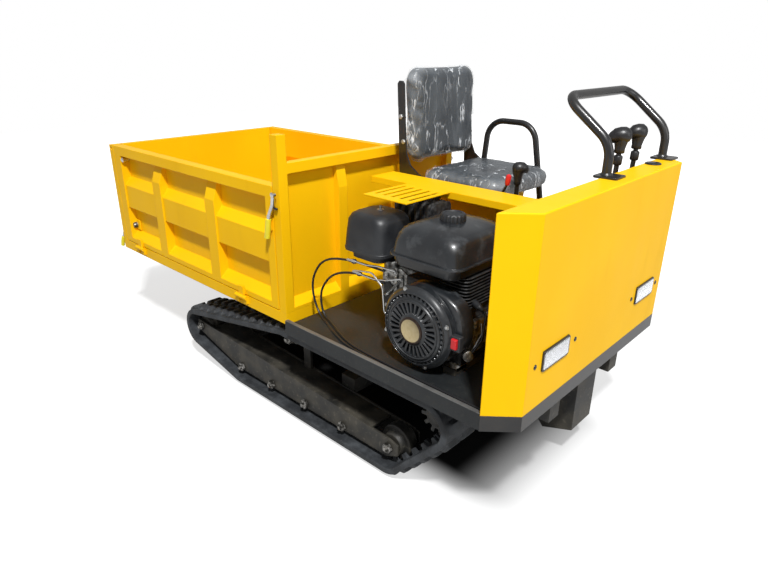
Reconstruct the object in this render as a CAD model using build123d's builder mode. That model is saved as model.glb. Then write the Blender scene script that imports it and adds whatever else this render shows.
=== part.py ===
"""Ride-on tracked site dumper with a tipping drop-side bed and an open side engine."""

from math import atan2, cos, degrees, hypot, radians, sin
import os

from build123d import *

os.makedirs("parts", exist_ok=True)

# Overall frame, in mm, with +X forward, +Y to the left and +Z up from the ground
bed_rear = -1136
bed_front = 164
bed_half = 479
bed_low = 408
floor_top = 452
gate_low = 456
gate_top = 918
gate_rear = -1094
gate_front = 119
gate_thick = 44
rail_deep = 42
panel_deep = 38
head_top = 997
post_top = 1092
post_size = 38

# Tipping hinge, and the tipping cylinder's two pins
tip_x = -886
tip_z = 374
cyl_foot = (150, 200)
cyl_eye = (-420, 395)

# Gate hinges
hinge_xs = (-950, -110)
hinge_y = bed_half + 10
hinge_z = 446
rear_hinge_z = 900

# Chassis, deck and front cowl
rail_top = 386
rail_y = 210
deck_rear = 218
deck_top = 440
deck_half = 528
lip_top = 461
cowl_rear = 1050
cowl_face = 1135
cowl_half = 457
cowl_out = deck_half + 3
cowl_low = 457
cowl_top = 1014
wall = 5
lamp_y = 310
lamp_z = 594

# Divider between the engine bay and the operator, with its ledge over the engine
divider_y = 30
ledge_y = -90
ledge_top = 912

# Tracks, as wheel centres and radii inside the belt
track_in = 300
track_out = 480
track_mid = (track_in + track_out) / 2
belt_thick = 22
lug_high = 14
lug_count = 54
rear_wheel = (-514, 166, 64)
front_wheel = (649, 100, 64)
drive_wheel = (819, 283, 66)
carrier = (114, 317, 32)
roller_r = 38
roller_xs = (-208, 1, 210, 420)
roller_z = lug_high + belt_thick + roller_r
arm_xs = (-330, 330)

# Engine, placed by its fan
fan_x = 750
fan_z = 584
fan_r = 131
fan_face = -466
crank_back = -110
tank_x = 740
tank_y = -275
tank_seam = 786

# Seat
seat_mid = 248
seat_wide = 412
seat_low = 868


# Two chassis rails, with the pads that carry the deck and the base rail
with BuildPart() as main_frame:
    for side in (-1, 1):
        with Locations((79, side * rail_y, rail_top - 35)):
            Box(2062, 60, 70)
        with Locations((1078, side * rail_y, rail_top + 11)):
            Box(64, 60, 22)
        for x in (300, 980):
            with Locations((x, side * rail_y, rail_top + 24)):
                Box(60, 50, 48)
main_frame.part.label = "main_frame"
export_step(main_frame.part, "parts/main_frame.step")

# Ears that carry the bed, welded inside the rails, with their pins
with BuildPart() as tip_brackets:
    for side in (-1, 1):
        with BuildSketch(Plane(origin=(0, side * 175 + 5, 0), x_dir=(1, 0, 0), z_dir=(0, -1, 0))):
            with BuildLine():
                Polyline(
                    (tip_x - 60, 320), (tip_x + 60, 320), (tip_x + 28, tip_z + 10), (tip_x - 28, tip_z + 10), close=True
                )
            make_face()
            with Locations((tip_x, tip_z)):
                Circle(28)
        extrude(amount=10)
        with Locations((tip_x, side * 166.5, tip_z)):
            Cylinder(12.45, 27, rotation=(90, 0, 0))
tip_brackets.part.label = "tip_brackets"
export_step(tip_brackets.part, "parts/tip_brackets.step")

# Cross beams and the drilled tail plate between the rails, and the cross tubes with
# posts that carry the two track frames
with BuildPart() as cross_arms:
    for x in (-780, 300, 980):
        with Locations((x, 0, 343)):
            Box(60, 2 * rail_y - 60, 46)
    with Locations((-942, 0, 331)):
        Box(16, 2 * rail_y - 80, 30)
    with BuildSketch(Plane.XY.offset(322)):
        with Locations((-970, 0)):
            RectangleRounded(60, 90, 20)
            Circle(12, mode=Mode.SUBTRACT)
    extrude(amount=12)
    for x in arm_xs:
        with Locations((x, 0, 165)):
            Box(70, 2 * (track_mid - 58), 60)
        for side in (-1, 1):
            with BuildSketch(Plane(origin=(x - 35, 0, 0), x_dir=(0, 1, 0), z_dir=(1, 0, 0))):
                with BuildLine():
                    Polyline(
                        (side * 180, 195), (side * 290, 195), (side * 240, 316), (side * 180, 316), close=True
                    )
                make_face()
            extrude(amount=70)
cross_arms.part.label = "cross_arms"
export_step(cross_arms.part, "parts/cross_arms.step")

# Fork on the front cross tube that holds the tipping cylinder's foot
with BuildPart() as cylinder_foot:
    for side in (-1, 1):
        with BuildSketch(Plane(origin=(0, side * 27 + 5, 0), x_dir=(1, 0, 0), z_dir=(0, -1, 0))):
            with BuildLine():
                Polyline(
                    (arm_xs[1] - 35, 140),
                    (arm_xs[1] - 35, 190),
                    (cyl_foot[0], cyl_foot[1] + 24),
                    (cyl_foot[0], cyl_foot[1] - 24),
                    close=True,
                )
            make_face()
            with Locations(cyl_foot):
                Circle(24)
        extrude(amount=10)
    with Locations((cyl_foot[0], 0, cyl_foot[1])):
        Cylinder(12.45, 64, rotation=(90, 0, 0))
cylinder_foot.part.label = "cylinder_foot"
export_step(cylinder_foot.part, "parts/cylinder_foot.step")

# Deck tray, one folded sheet with raised side lips
with BuildPart() as deck:
    with BuildSketch(Plane(origin=(deck_rear, 0, 0), x_dir=(0, 1, 0), z_dir=(1, 0, 0))):
        with BuildLine():
            Polyline(
                (-deck_half, bed_low),
                (-deck_half, lip_top),
                (-deck_half + 14, lip_top),
                (-deck_half + 20, deck_top),
                (deck_half - 20, deck_top),
                (deck_half - 14, lip_top),
                (deck_half, lip_top),
                (deck_half, bed_low),
                (deck_half - 6, bed_low),
                (deck_half - 6, deck_top - 6),
                (-deck_half + 6, deck_top - 6),
                (-deck_half + 6, bed_low),
                close=True,
            )
        make_face()
    extrude(amount=cowl_rear - deck_rear)
deck.part.label = "deck"
export_step(deck.part, "parts/deck.step")

# Front cowl, a hollow folded wall with chamfered ends and a lip at its foot
cowl_plan = [
    (cowl_rear, -cowl_out),
    (cowl_face, -cowl_half),
    (cowl_face, cowl_half),
    (cowl_rear, cowl_out),
]
with BuildPart() as front_cowl:
    with BuildSketch(Plane.XY.offset(cowl_low)):
        with BuildLine():
            Polyline(cowl_plan, close=True)
        make_face()
    extrude(amount=cowl_top - cowl_low)
    fillet(front_cowl.faces().sort_by(Axis.Z)[-1].edges(), 4)
    with BuildSketch(Plane.XY.offset(cowl_low)):
        with BuildLine():
            Polyline(cowl_plan, close=True)
        make_face()
        offset(amount=-wall, kind=Kind.INTERSECTION)
    extrude(amount=cowl_top - cowl_low - wall, mode=Mode.SUBTRACT)
    for side in (-1, 1):
        with Locations((cowl_face - 3, side * lamp_y, lamp_z)):
            Box(20, 147, 62, mode=Mode.SUBTRACT)
front_cowl.part.label = "front_cowl"
export_step(front_cowl.part, "parts/front_cowl.step")

# Black base rail under the cowl
with BuildPart() as base_rail:
    with BuildSketch(Plane.XY.offset(bed_low)):
        with BuildLine():
            Polyline(cowl_plan, close=True)
        make_face()
    extrude(amount=cowl_low - bed_low)
    with BuildSketch(Plane.XY.offset(bed_low)):
        with BuildLine():
            Polyline(cowl_plan, close=True)
        make_face()
        offset(amount=-8, kind=Kind.INTERSECTION)
    extrude(amount=cowl_low - bed_low - 6, mode=Mode.SUBTRACT)
base_rail.part.label = "base_rail"
export_step(base_rail.part, "parts/base_rail.step")

# Belly guard, a folded plate under the nose in front of the gearbox
guard_side = [(908, 149), (960, 87), (1069, 123), (1069, 408), (908, 408)]
with BuildPart() as belly_guard:
    with BuildSketch(Plane(origin=(0, 180, 0), x_dir=(1, 0, 0), z_dir=(0, -1, 0))):
        with BuildLine():
            Polyline(
                (1046, 408),
                (1069, 408),
                (1069, 123),
                (960, 87),
                (908, 149),
                (914, 153),
                (963, 95),
                (1061, 128),
                (1061, 400),
                (1046, 400),
                close=True,
            )
        make_face()
    extrude(amount=140)
    for y in (46, 180):
        with BuildSketch(Plane(origin=(0, y, 0), x_dir=(1, 0, 0), z_dir=(0, -1, 0))):
            with BuildLine():
                Polyline(guard_side[0], guard_side[1], guard_side[2], (1069, 300), (1000, 300), close=True)
            make_face()
        extrude(amount=6)
belly_guard.part.label = "belly_guard"
export_step(belly_guard.part, "parts/belly_guard.step")

# Headlamps set into the cowl's face
with BuildPart() as headlamps:
    for side in (-1, 1):
        with Locations((cowl_face - 6, side * lamp_y, lamp_z)):
            Box(22, 146, 61)
headlamps.part.label = "headlamps"
export_step(headlamps.part, "parts/headlamps.step")

# Bent grab bar on two foot plates
bar_near = 42
bar_far = 490
bar_x = cowl_rear + 6
with BuildPart() as grab_bar:
    with BuildLine() as grab_path:
        FilletPolyline(
            (bar_x, bar_near, cowl_top),
            (bar_x, bar_near, 1100),
            (bar_x - 144, bar_near, 1236),
            (bar_x - 144, bar_far, 1236),
            (bar_x, bar_far, 1100),
            (bar_x, bar_far, cowl_top),
            radius=42,
        )
    with BuildSketch(Plane(origin=(bar_x, bar_near, cowl_top), z_dir=(0, 0, 1))):
        Circle(14)
    sweep(path=grab_path.line)
    for y in (bar_near, bar_far - 8):
        with Locations((bar_x + 10, y, cowl_top + 3)):
            Box(72, 72, 6)
grab_bar.part.label = "grab_bar"
export_step(grab_bar.part, "parts/grab_bar.step")

# Two steering levers with moulded heads, behind the cowl
with BuildPart() as steering_levers:
    for y, lean in ((195, 45), (310, 68)):
        with Locations((1004, y, deck_top + 9)):
            Cylinder(15, 18)
        lever_plane = Plane(origin=(1004, y, deck_top), x_dir=(1, 0, 0), z_dir=(0, lean, 600))
        with BuildSketch(lever_plane.offset(10)):
            Circle(8)
        extrude(amount=600)
        with BuildSketch(lever_plane.offset(580)):
            Circle(14)
        extrude(amount=26)
        with BuildSketch(lever_plane.offset(610)):
            Circle(15)
        with BuildSketch(lever_plane.offset(676)):
            Circle(28)
        loft()
        with BuildSketch(lever_plane.offset(676)):
            Circle(28)
        extrude(amount=20, taper=30)
steering_levers.part.label = "steering_levers"
export_step(steering_levers.part, "parts/steering_levers.step")

# Gear lever with a tapered knob
with BuildPart() as gear_lever:
    with BuildSketch(Plane.XY.offset(deck_top)):
        with Locations((718, 118)):
            Circle(8)
    extrude(amount=490)
    with BuildSketch(Plane.XY.offset(912)):
        with Locations((718, 118)):
            Circle(14)
    with BuildSketch(Plane.XY.offset(988)):
        with Locations((722, 118)):
            Circle(25)
    loft()
    with BuildSketch(Plane.XY.offset(988)):
        with Locations((722, 118)):
            Circle(25)
    extrude(amount=18, taper=30)
gear_lever.part.label = "gear_lever"
export_step(gear_lever.part, "parts/gear_lever.step")

# Divider wall, folded over at its top to a ledge with a lip above the engine
with BuildPart() as divider:
    with BuildSketch(Plane(origin=(deck_rear, 0, 0), x_dir=(0, 1, 0), z_dir=(1, 0, 0))):
        with BuildLine():
            Polyline(
                (divider_y + 4, deck_top),
                (divider_y + 4, ledge_top),
                (ledge_y, ledge_top),
                (ledge_y, ledge_top - 24),
                (ledge_y + 4, ledge_top - 24),
                (ledge_y + 4, ledge_top - 4),
                (divider_y, ledge_top - 4),
                (divider_y, deck_top),
                close=True,
            )
        make_face()
    extrude(amount=cowl_rear - deck_rear)
divider.part.label = "divider"
export_step(divider.part, "parts/divider.step")

# Seat pedestal, a box open below with a sloped toe
with BuildPart() as seat_pedestal:
    with BuildSketch(Plane(origin=(0, 440, 0), x_dir=(1, 0, 0), z_dir=(0, -1, 0))):
        with BuildLine():
            Polyline((310, deck_top), (310, seat_low), (570, seat_low), (520, deck_top), close=True)
        make_face()
    extrude(amount=310)
    with BuildSketch(Plane(origin=(0, 436, 0), x_dir=(1, 0, 0), z_dir=(0, -1, 0))):
        with BuildLine():
            Polyline((314, deck_top), (314, seat_low - 4), (565, seat_low - 4), (515, deck_top), close=True)
        make_face()
    extrude(amount=302, mode=Mode.SUBTRACT)
seat_pedestal.part.label = "seat_pedestal"
export_step(seat_pedestal.part, "parts/seat_pedestal.step")

# Seat cushion and backrest, with the hinge plates at their sides
with BuildPart() as seat_cushion:
    with Locations((507, seat_mid, seat_low + 36)):
        Box(380, seat_wide, 72)
    fillet(seat_cushion.edges().filter_by(Axis.Z), 40)
    chamfer(seat_cushion.faces().sort_by(Axis.Z)[-1].edges(), 16)
seat_cushion.part.label = "seat_cushion"
export_step(seat_cushion.part, "parts/seat_cushion.step")

with BuildPart() as seat_backrest:
    with BuildSketch(Plane(origin=(236, 0, 0), x_dir=(0, 1, 0), z_dir=(1, 0, 0))):
        with Locations((seat_mid, 1130)):
            RectangleRounded(seat_wide, 352, 64)
    extrude(amount=72)
    chamfer(seat_backrest.faces().sort_by(Axis.X)[-1].edges(), 16)
seat_backrest.part.label = "seat_backrest"
export_step(seat_backrest.part, "parts/seat_backrest.step")

with BuildPart() as seat_frame:
    for side in (-1, 1):
        with BuildSketch(Plane(origin=(0, seat_mid + side * 209 + 3, 0), x_dir=(1, 0, 0), z_dir=(0, -1, 0))):
            with BuildLine():
                Polyline((236, 1180), (264, 1180), (280, 960), (350, 905), (440, 888), (440, 868), (250, 868), close=True)
            make_face()
        extrude(amount=6)
seat_frame.part.label = "seat_frame"
export_step(seat_frame.part, "parts/seat_frame.step")

# Side hoop beside the seat
with BuildPart() as side_hoop:
    with BuildLine() as hoop_path:
        FilletPolyline(
            (322, 484, deck_top),
            (322, 484, 800),
            (346, 484, 1080),
            (556, 484, 1080),
            (612, 484, 800),
            (612, 484, deck_top),
            radius=60,
        )
    with BuildSketch(Plane(origin=(322, 484, deck_top), z_dir=(0, 0, 1))):
        Circle(12)
    sweep(path=hoop_path.line)
side_hoop.part.label = "side_hoop"
export_step(side_hoop.part, "parts/side_hoop.step")

# Engine's crankcase with its finned cylinder leaning forward
with BuildPart() as engine_block:
    with BuildSketch(Plane(origin=(0, crank_back, 0), x_dir=(1, 0, 0), z_dir=(0, -1, 0))):
        with BuildLine():
            Polyline((640, 462), (860, 462), (868, 560), (842, 640), (790, 700), (640, 700), close=True)
        make_face()
    extrude(amount=260)
    with Locations((fan_x, crank_back + 35, fan_z)):
        Cylinder(62, 70, rotation=(90, 0, 0))
    fin_plane = Plane(origin=(fan_x + 20, -240, fan_z), x_dir=(0, 1, 0), z_dir=(80, 0, 60))
    with BuildSketch(fin_plane.offset(40)):
        Rectangle(100, 96)
    extrude(amount=112)
    for i in range(7):
        with BuildSketch(fin_plane.offset(84 + 11 * i)):
            RectangleRounded(160, 138, 22)
        extrude(amount=4)
engine_block.part.label = "engine_block"
export_step(engine_block.part, "parts/engine_block.step")

# Engine's feet on two rails across the deck
with BuildPart() as engine_base:
    for x in (670, 840):
        with Locations((x, -240, deck_top + 11)):
            Box(44, 300, 22)
engine_base.part.label = "engine_base"
export_step(engine_base.part, "parts/engine_base.step")

# Fan housing with its volute, and the louvred starter cover in front
with BuildPart() as fan_cover:
    with BuildSketch(Plane(origin=(0, crank_back - 260, 0), x_dir=(1, 0, 0), z_dir=(0, -1, 0))):
        with Locations((fan_x, fan_z)):
            Circle(fan_r)
        with BuildLine():
            Polyline((fan_x + 20, fan_z + 128), (fan_x + 150, fan_z + 92), (fan_x + 156, fan_z - 10), (fan_x + 118, fan_z - 56), (fan_x, fan_z), close=True)
        make_face()
    extrude(amount=52)
    with BuildSketch(Plane(origin=(0, crank_back - 312, 0), x_dir=(1, 0, 0), z_dir=(0, -1, 0))):
        with Locations((fan_x, fan_z)):
            Circle(fan_r - 17)
    with BuildSketch(Plane(origin=(0, fan_face, 0), x_dir=(1, 0, 0), z_dir=(0, -1, 0))):
        with Locations((fan_x, fan_z)):
            Circle(fan_r - 26)
    loft()
    with BuildSketch(Plane(origin=(0, fan_face + 20, 0), x_dir=(1, 0, 0), z_dir=(0, -1, 0))):
        with Locations((fan_x, fan_z)):
            with PolarLocations(78, 18):
                Rectangle(34, 6)
    extrude(amount=40, mode=Mode.SUBTRACT)
    with BuildSketch(Plane(origin=(0, fan_face, 0), x_dir=(1, 0, 0), z_dir=(0, -1, 0))):
        with Locations((fan_x - 8, fan_z - 4)):
            Circle(42)
    extrude(amount=6)
fan_cover.part.label = "fan_cover"
export_step(fan_cover.part, "parts/fan_cover.step")

# Fuel tank, pressed in two halves that meet at a seam flange
with BuildPart() as fuel_tank:
    with BuildSketch(Plane.XY.offset(tank_seam)):
        with Locations((tank_x, tank_y)):
            RectangleRounded(256, 296, 34)
    extrude(amount=112, taper=7)
    chamfer(fuel_tank.faces().sort_by(Axis.Z)[-1].edges(), 18)
    with BuildSketch(Plane.XY.offset(tank_seam)):
        with Locations((tank_x, tank_y)):
            RectangleRounded(256, 296, 34)
    extrude(amount=-38, taper=14)
    with BuildSketch(Plane.XY.offset(tank_seam - 3)):
        with Locations((tank_x, tank_y)):
            RectangleRounded(272, 312, 42)
    extrude(amount=6)
    for x, y in ((tank_x - 60, tank_y + 60), (tank_x - 60, tank_y - 60)):
        with Locations((x, y, 730)):
            Box(24, 24, 60)
fuel_tank.part.label = "fuel_tank"
export_step(fuel_tank.part, "parts/fuel_tank.step")

with BuildPart() as fuel_cap:
    with BuildSketch(Plane.XY.offset(tank_seam + 112)):
        with Locations((752, -290)):
            Circle(36)
            with PolarLocations(35, 12):
                Rectangle(6, 7)
    extrude(amount=26)
fuel_cap.part.label = "fuel_cap"
export_step(fuel_cap.part, "parts/fuel_cap.step")

# Air cleaner's box beside the tank
with BuildPart() as air_cleaner:
    with BuildSketch(Plane.XY.offset(732)):
        with Locations((462, -300)):
            RectangleRounded(176, 176, 34)
    extrude(amount=132, taper=5)
    chamfer(air_cleaner.faces().sort_by(Axis.Z)[-1].edges(), 16)
    with BuildSketch(Plane.XY.offset(732)):
        with Locations((470, -296)):
            RectangleRounded(140, 140, 30)
    extrude(amount=-24)
    with Locations((570, -280, 742)):
        Box(60, 60, 20)
air_cleaner.part.label = "air_cleaner"
export_step(air_cleaner.part, "parts/air_cleaner.step")

# Carburettor and governor plate below the air cleaner
with BuildPart() as carburettor:
    with Locations((520, -290, 668)):
        Cylinder(34, 80)
    with Locations((587, -290, 670)):
        Cylinder(24, 106, rotation=(0, 90, 0))
    with Locations((520, -290, 620)):
        Cylinder(27, 36)
    with BuildSketch(Plane(origin=(0, -340, 0), x_dir=(1, 0, 0), z_dir=(0, -1, 0))):
        with BuildLine():
            Polyline((520, 560), (600, 540), (628, 560), (628, 690), (600, 706), (520, 690), close=True)
        make_face()
    extrude(amount=5)
    with Locations((560, -320, 640)):
        Box(20, 40, 20)
carburettor.part.label = "carburettor"
export_step(carburettor.part, "parts/carburettor.step")

# Ribbed muffler behind the tank, with the slotted heat guard above it
with BuildPart() as muffler:
    with Locations((510, -140, 826)):
        Box(188, 96, 128)
    chamfer(muffler.edges().filter_by(Axis.X), 18)
    for i in range(7):
        with Locations((432 + 26 * i, -140, 826)):
            Box(8, 104, 104)
    with Locations((605, -140, 680)):
        Box(70, 40, 40)
    with Locations((588, -140, 716)):
        Box(36, 40, 100)
muffler.part.label = "muffler"
export_step(muffler.part, "parts/muffler.step")

with BuildPart() as heat_guard:
    with BuildSketch(Plane.XY.offset(ledge_top - 4)):
        with Locations((493, ledge_y - 112)):
            Rectangle(190, 224)
            with GridLocations(0, 36, 1, 5):
                Rectangle(150, 10, mode=Mode.SUBTRACT)
    extrude(amount=4)
    for y in (-158, -122):
        with Locations((560, y, ledge_top - 13)):
            Box(20, 16, 18)
heat_guard.part.label = "heat_guard"
export_step(heat_guard.part, "parts/heat_guard.step")

# Two control cables that loop from the governor down to the deck and on to the cowl
with BuildPart() as control_cables:
    for bend, route in (
        (
            58,
            [
                (530, -349, 682),
                (400, -382, 698),
                (300, -390, 668),
                (236, -392, 600),
                (218, -392, 530),
                (240, -392, 470),
                (290, -404, deck_top + 4),
                (400, -455, deck_top + 4),
                (520, 33 - deck_half, deck_top + 4),
                (1040, 28 - deck_half, deck_top + 4),
            ],
        ),
        (
            44,
            [
                (530, -349, 640),
                (420, -368, 652),
                (330, -378, 622),
                (270, -382, 560),
                (250, -382, 512),
                (270, -386, 458),
                (320, -400, deck_top + 4),
                (430, -452, deck_top + 4),
                (540, 46 - deck_half, deck_top + 4),
                (1040, 40 - deck_half, deck_top + 4),
            ],
        ),
    ):
        with BuildLine() as cable_path:
            FilletPolyline(*route, radius=bend)
        with BuildSketch(Plane(origin=route[0], z_dir=cable_path.line % 0)):
            Circle(4)
        sweep(path=cable_path.line)
control_cables.part.label = "control_cables"
export_step(control_cables.part, "parts/control_cables.step")

# Bed floor on its rails and cross beams, with the two rear posts
with BuildPart() as bed_frame:
    with Locations(((bed_rear + bed_front) / 2, 0, floor_top - 2)):
        Box(bed_front - bed_rear, 2 * bed_half, 4)
    for side in (-1, 1):
        with Locations(((bed_rear + bed_front) / 2, side * (bed_half - 20), 430)):
            Box(bed_front - bed_rear, 40, 44)
        with Locations((-360, side * 120, 422)):
            Box(1040, 60, 52)
        with Locations((bed_rear + 18, side * (bed_half - 22), (floor_top + gate_top) / 2)):
            Box(36, 44, gate_top - floor_top)
    for x in (bed_rear + 20, bed_front - 20):
        with Locations((x, 0, 430)):
            Box(40, 2 * bed_half, 44)
    for x in (-620, -240, -20):
        with Locations((x, 0, 430)):
            Box(50, 2 * bed_half - 80, 36)
    for side in (-1, 1):
        with Locations((bed_rear + 18, side * (bed_half - 22), rear_hinge_z)):
            Cylinder(8.05, 46, rotation=(90, 0, 0), mode=Mode.SUBTRACT)
        for x in hinge_xs:
            for dx in (-26, 26):
                with Locations((x + dx, side * hinge_y, hinge_z)):
                    Cylinder(8.5, 20, rotation=(0, 90, 0))
                with Locations((x + dx, side * (hinge_y - 5), hinge_z - 14)):
                    Box(20, 10, 24)
            with Locations((x, side * hinge_y, hinge_z)):
                Cylinder(4, 60, rotation=(0, 90, 0))
bed_frame.part.label = "bed_frame"
export_step(bed_frame.part, "parts/bed_frame.step")

# Hinge lugs under the bed, and the fork for the tipping cylinder's rod
with BuildPart() as bed_lugs:
    for side in (-1, 1):
        with BuildSketch(Plane(origin=(0, side * 159 + 5, 0), x_dir=(1, 0, 0), z_dir=(0, -1, 0))):
            with BuildLine():
                Polyline((tip_x - 50, 448), (tip_x + 70, 448), (tip_x + 26, tip_z), (tip_x - 26, tip_z), close=True)
            make_face()
            with Locations((tip_x, tip_z)):
                Circle(26)
                Circle(12.5, mode=Mode.SUBTRACT)
        extrude(amount=10)
    for side in (-1, 1):
        with BuildSketch(Plane(origin=(0, side * 34 + 5, 0), x_dir=(1, 0, 0), z_dir=(0, -1, 0))):
            with BuildLine():
                Polyline((-470, 448), (-370, 448), (-395, 372), (-445, 372), close=True)
            make_face()
        extrude(amount=10)
bed_lugs.part.label = "bed_lugs"
export_step(bed_lugs.part, "parts/bed_lugs.step")

# Headboard, its pressed panel between the two tall front posts
with BuildPart() as headboard:
    for side in (-1, 1):
        with Locations((bed_front - 19, side * (bed_half - 19), (floor_top + post_top) / 2)):
            Box(post_size, post_size, post_top - floor_top)
    with BuildSketch(Plane(origin=(0, bed_half - post_size, 0), x_dir=(1, 0, 0), z_dir=(0, -1, 0))):
        with BuildLine():
            Polyline(
                (bed_front, floor_top),
                (bed_front, floor_top + 14),
                (bed_front - 30, floor_top + 44),
                (bed_front - 30, head_top - 36),
                (bed_front, head_top - 36),
                (bed_front, head_top),
                (bed_front - 36, head_top),
                (bed_front - 36, floor_top),
                close=True,
            )
        make_face()
    extrude(amount=2 * (bed_half - post_size))
    for y in (-184, 184):
        with BuildSketch(Plane(origin=(0, y + 22, 0), x_dir=(1, 0, 0), z_dir=(0, -1, 0))):
            with BuildLine():
                Polyline(
                    (bed_front - 30, floor_top),
                    (bed_front, floor_top),
                    (bed_front, head_top - 120),
                    (bed_front - 16, head_top - 36),
                    (bed_front - 30, head_top - 36),
                    close=True,
                )
            make_face()
        extrude(amount=44)
headboard.part.label = "headboard"
export_step(headboard.part, "parts/headboard.step")

# Side gates, each a folded panel profile between stiles, with two tapered ribs
gate_len = gate_front - gate_rear
for side, name in ((-1, "right"), (1, "left")):
    out = side * bed_half
    back = out - side * gate_thick
    deep = out - side * panel_deep
    proud = out - side * 6
    with BuildPart() as side_gate:
        with BuildSketch(Plane(origin=(gate_rear, 0, 0), x_dir=(0, 1, 0), z_dir=(1, 0, 0))):
            with BuildLine():
                Polyline(
                    (out, gate_low),
                    (out, 478),
                    (deep, 512),
                    (deep, 630),
                    (proud, 632),
                    (proud, 738),
                    (deep, 776),
                    (deep, gate_top - rail_deep),
                    (out, gate_top - rail_deep),
                    (out, gate_top),
                    (back, gate_top),
                    (back, 772),
                    (proud - side * 6, 735),
                    (proud - side * 6, 638),
                    (back, 636),
                    (back, gate_low),
                    close=True,
                )
            make_face()
        extrude(amount=gate_len)
        for x, w in ((gate_rear, 56), (-752, 66), (-326, 66), (gate_front - 40, 40)):
            with BuildSketch(Plane(origin=(x, 0, 0), x_dir=(0, 1, 0), z_dir=(1, 0, 0))):
                with BuildLine():
                    if w == 66:
                        Polyline(
                            (back, gate_low),
                            (out, gate_low),
                            (out, 800),
                            (deep + side * 12, gate_top - rail_deep),
                            (back, gate_top - rail_deep),
                            close=True,
                        )
                    else:
                        Polyline((back, gate_low), (out, gate_low), (out, gate_top), (back, gate_top), close=True)
                make_face()
            extrude(amount=w)
        for x in hinge_xs:
            with Locations((x, side * (hinge_y - 5), hinge_z + 24)):
                Box(30, 10, 40)
            with Locations((x, side * hinge_y, hinge_z)):
                Cylinder(8.5, 30, rotation=(0, 90, 0))
                Cylinder(4.05, 31, rotation=(0, 90, 0), mode=Mode.SUBTRACT)
    side_gate.part.label = f"side_gate_{name}"
    export_step(side_gate.part, f"parts/side_gate_{name}.step")

# Hook latches, each with a round grip on a gate's front stile
for side, name in ((-1, "right"), (1, "left")):
    with BuildPart() as latch:
        with Locations((96, side * (bed_half + 3.5), 770)):
            Box(24, 7, 60)
        with Locations((94, side * (bed_half + 9), 790)):
            Cylinder(8, 12, rotation=(90, 0, 0))
        for start, end, r in (((89, 797), (71, 728), 9), ((89, 797), (127, 872), 5)):
            run = (end[0] - start[0], 0, end[1] - start[1])
            with BuildSketch(Plane(origin=(start[0], side * (bed_half + 15), start[1]), z_dir=run)):
                Circle(r)
            extrude(amount=hypot(run[0], run[2]))
        with Locations((127, side * (bed_half + 15), 872)):
            Cylinder(8, 12, rotation=(90, 0, 0))
    latch.part.label = f"gate_latch_{name}"
    export_step(latch.part, f"parts/gate_latch_{name}.step")

# Rear gate, hung on two pins at its top
rear_half = bed_half - 44 - 5
rear_out = bed_rear + 1
rear_deep = bed_rear + 29
with BuildPart() as rear_gate:
    with BuildSketch(Plane(origin=(0, rear_half, 0), x_dir=(1, 0, 0), z_dir=(0, -1, 0))):
        with BuildLine():
            Polyline(
                (rear_out, 458),
                (rear_out, 480),
                (rear_deep, 508),
                (rear_deep, 630),
                (rear_out + 6, 632),
                (rear_out + 6, 738),
                (rear_deep, 766),
                (rear_deep, gate_top - rail_deep),
                (rear_out, gate_top - rail_deep),
                (rear_out, gate_top),
                (rear_out + 34, gate_top),
                (rear_out + 34, 458),
                close=True,
            )
        make_face()
    extrude(amount=2 * rear_half)
    for y in (-rear_half + 44, 33, rear_half):
        with BuildSketch(Plane(origin=(0, y, 0), x_dir=(1, 0, 0), z_dir=(0, -1, 0))):
            with Locations((rear_out + 17, (458 + gate_top) / 2)):
                Rectangle(34, gate_top - 458)
        extrude(amount=44 if abs(y) > 100 else 66)
    for side in (-1, 1):
        with Locations((bed_rear + 18, side * (rear_half + 20), rear_hinge_z)):
            Cylinder(8, 50, rotation=(90, 0, 0))
rear_gate.part.label = "rear_gate"
export_step(rear_gate.part, "parts/rear_gate.step")

# Tipping cylinder, its barrel on the chassis and its rod under the bed
cyl_len = hypot(cyl_eye[0] - cyl_foot[0], cyl_eye[1] - cyl_foot[1])
cyl_plane = Plane(
    origin=(cyl_foot[0], 0, cyl_foot[1]),
    x_dir=(0, 1, 0),
    z_dir=(cyl_eye[0] - cyl_foot[0], 0, cyl_eye[1] - cyl_foot[1]),
)
with BuildPart() as tip_barrel:
    with BuildSketch(cyl_plane.offset(44)):
        Circle(35)
    extrude(amount=cyl_len - 44 - 60)
    with BuildSketch(cyl_plane):
        Rectangle(40, 42)
    extrude(amount=46)
    with Locations((cyl_foot[0], 0, cyl_foot[1])):
        Cylinder(24, 42, rotation=(90, 0, 0))
        Cylinder(12.5, 80, rotation=(90, 0, 0), mode=Mode.SUBTRACT)
    with BuildSketch(cyl_plane.offset(90)):
        Circle(20.05)
    extrude(amount=cyl_len - 90, mode=Mode.SUBTRACT)
tip_barrel.part.label = "tip_barrel"
export_step(tip_barrel.part, "parts/tip_barrel.step")

with BuildPart() as tip_rod:
    with BuildSketch(cyl_plane.offset(92)):
        Circle(20)
    extrude(amount=cyl_len - 92 - 16)
    with Locations((cyl_eye[0], 0, cyl_eye[1])):
        Cylinder(24, 44, rotation=(90, 0, 0))
    with Locations((cyl_eye[0], 0, cyl_eye[1])):
        Cylinder(12, 54, rotation=(90, 0, 0))
tip_rod.part.label = "tip_rod"
export_step(tip_rod.part, "parts/tip_rod.step")


# The belt's path is the hull of its wheels
def belt_path(grow):
    """Return the outline round all the wheels, grown by a distance."""
    with BuildSketch(mode=Mode.PRIVATE) as outline:
        for x, z, r in (rear_wheel, front_wheel, drive_wheel, carrier):
            with Locations((x, z)):
                Circle(r + grow)
        for x in roller_xs:
            with Locations((x, roller_z)):
                Circle(roller_r + grow)
        make_hull()
    return outline.sketch


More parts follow.
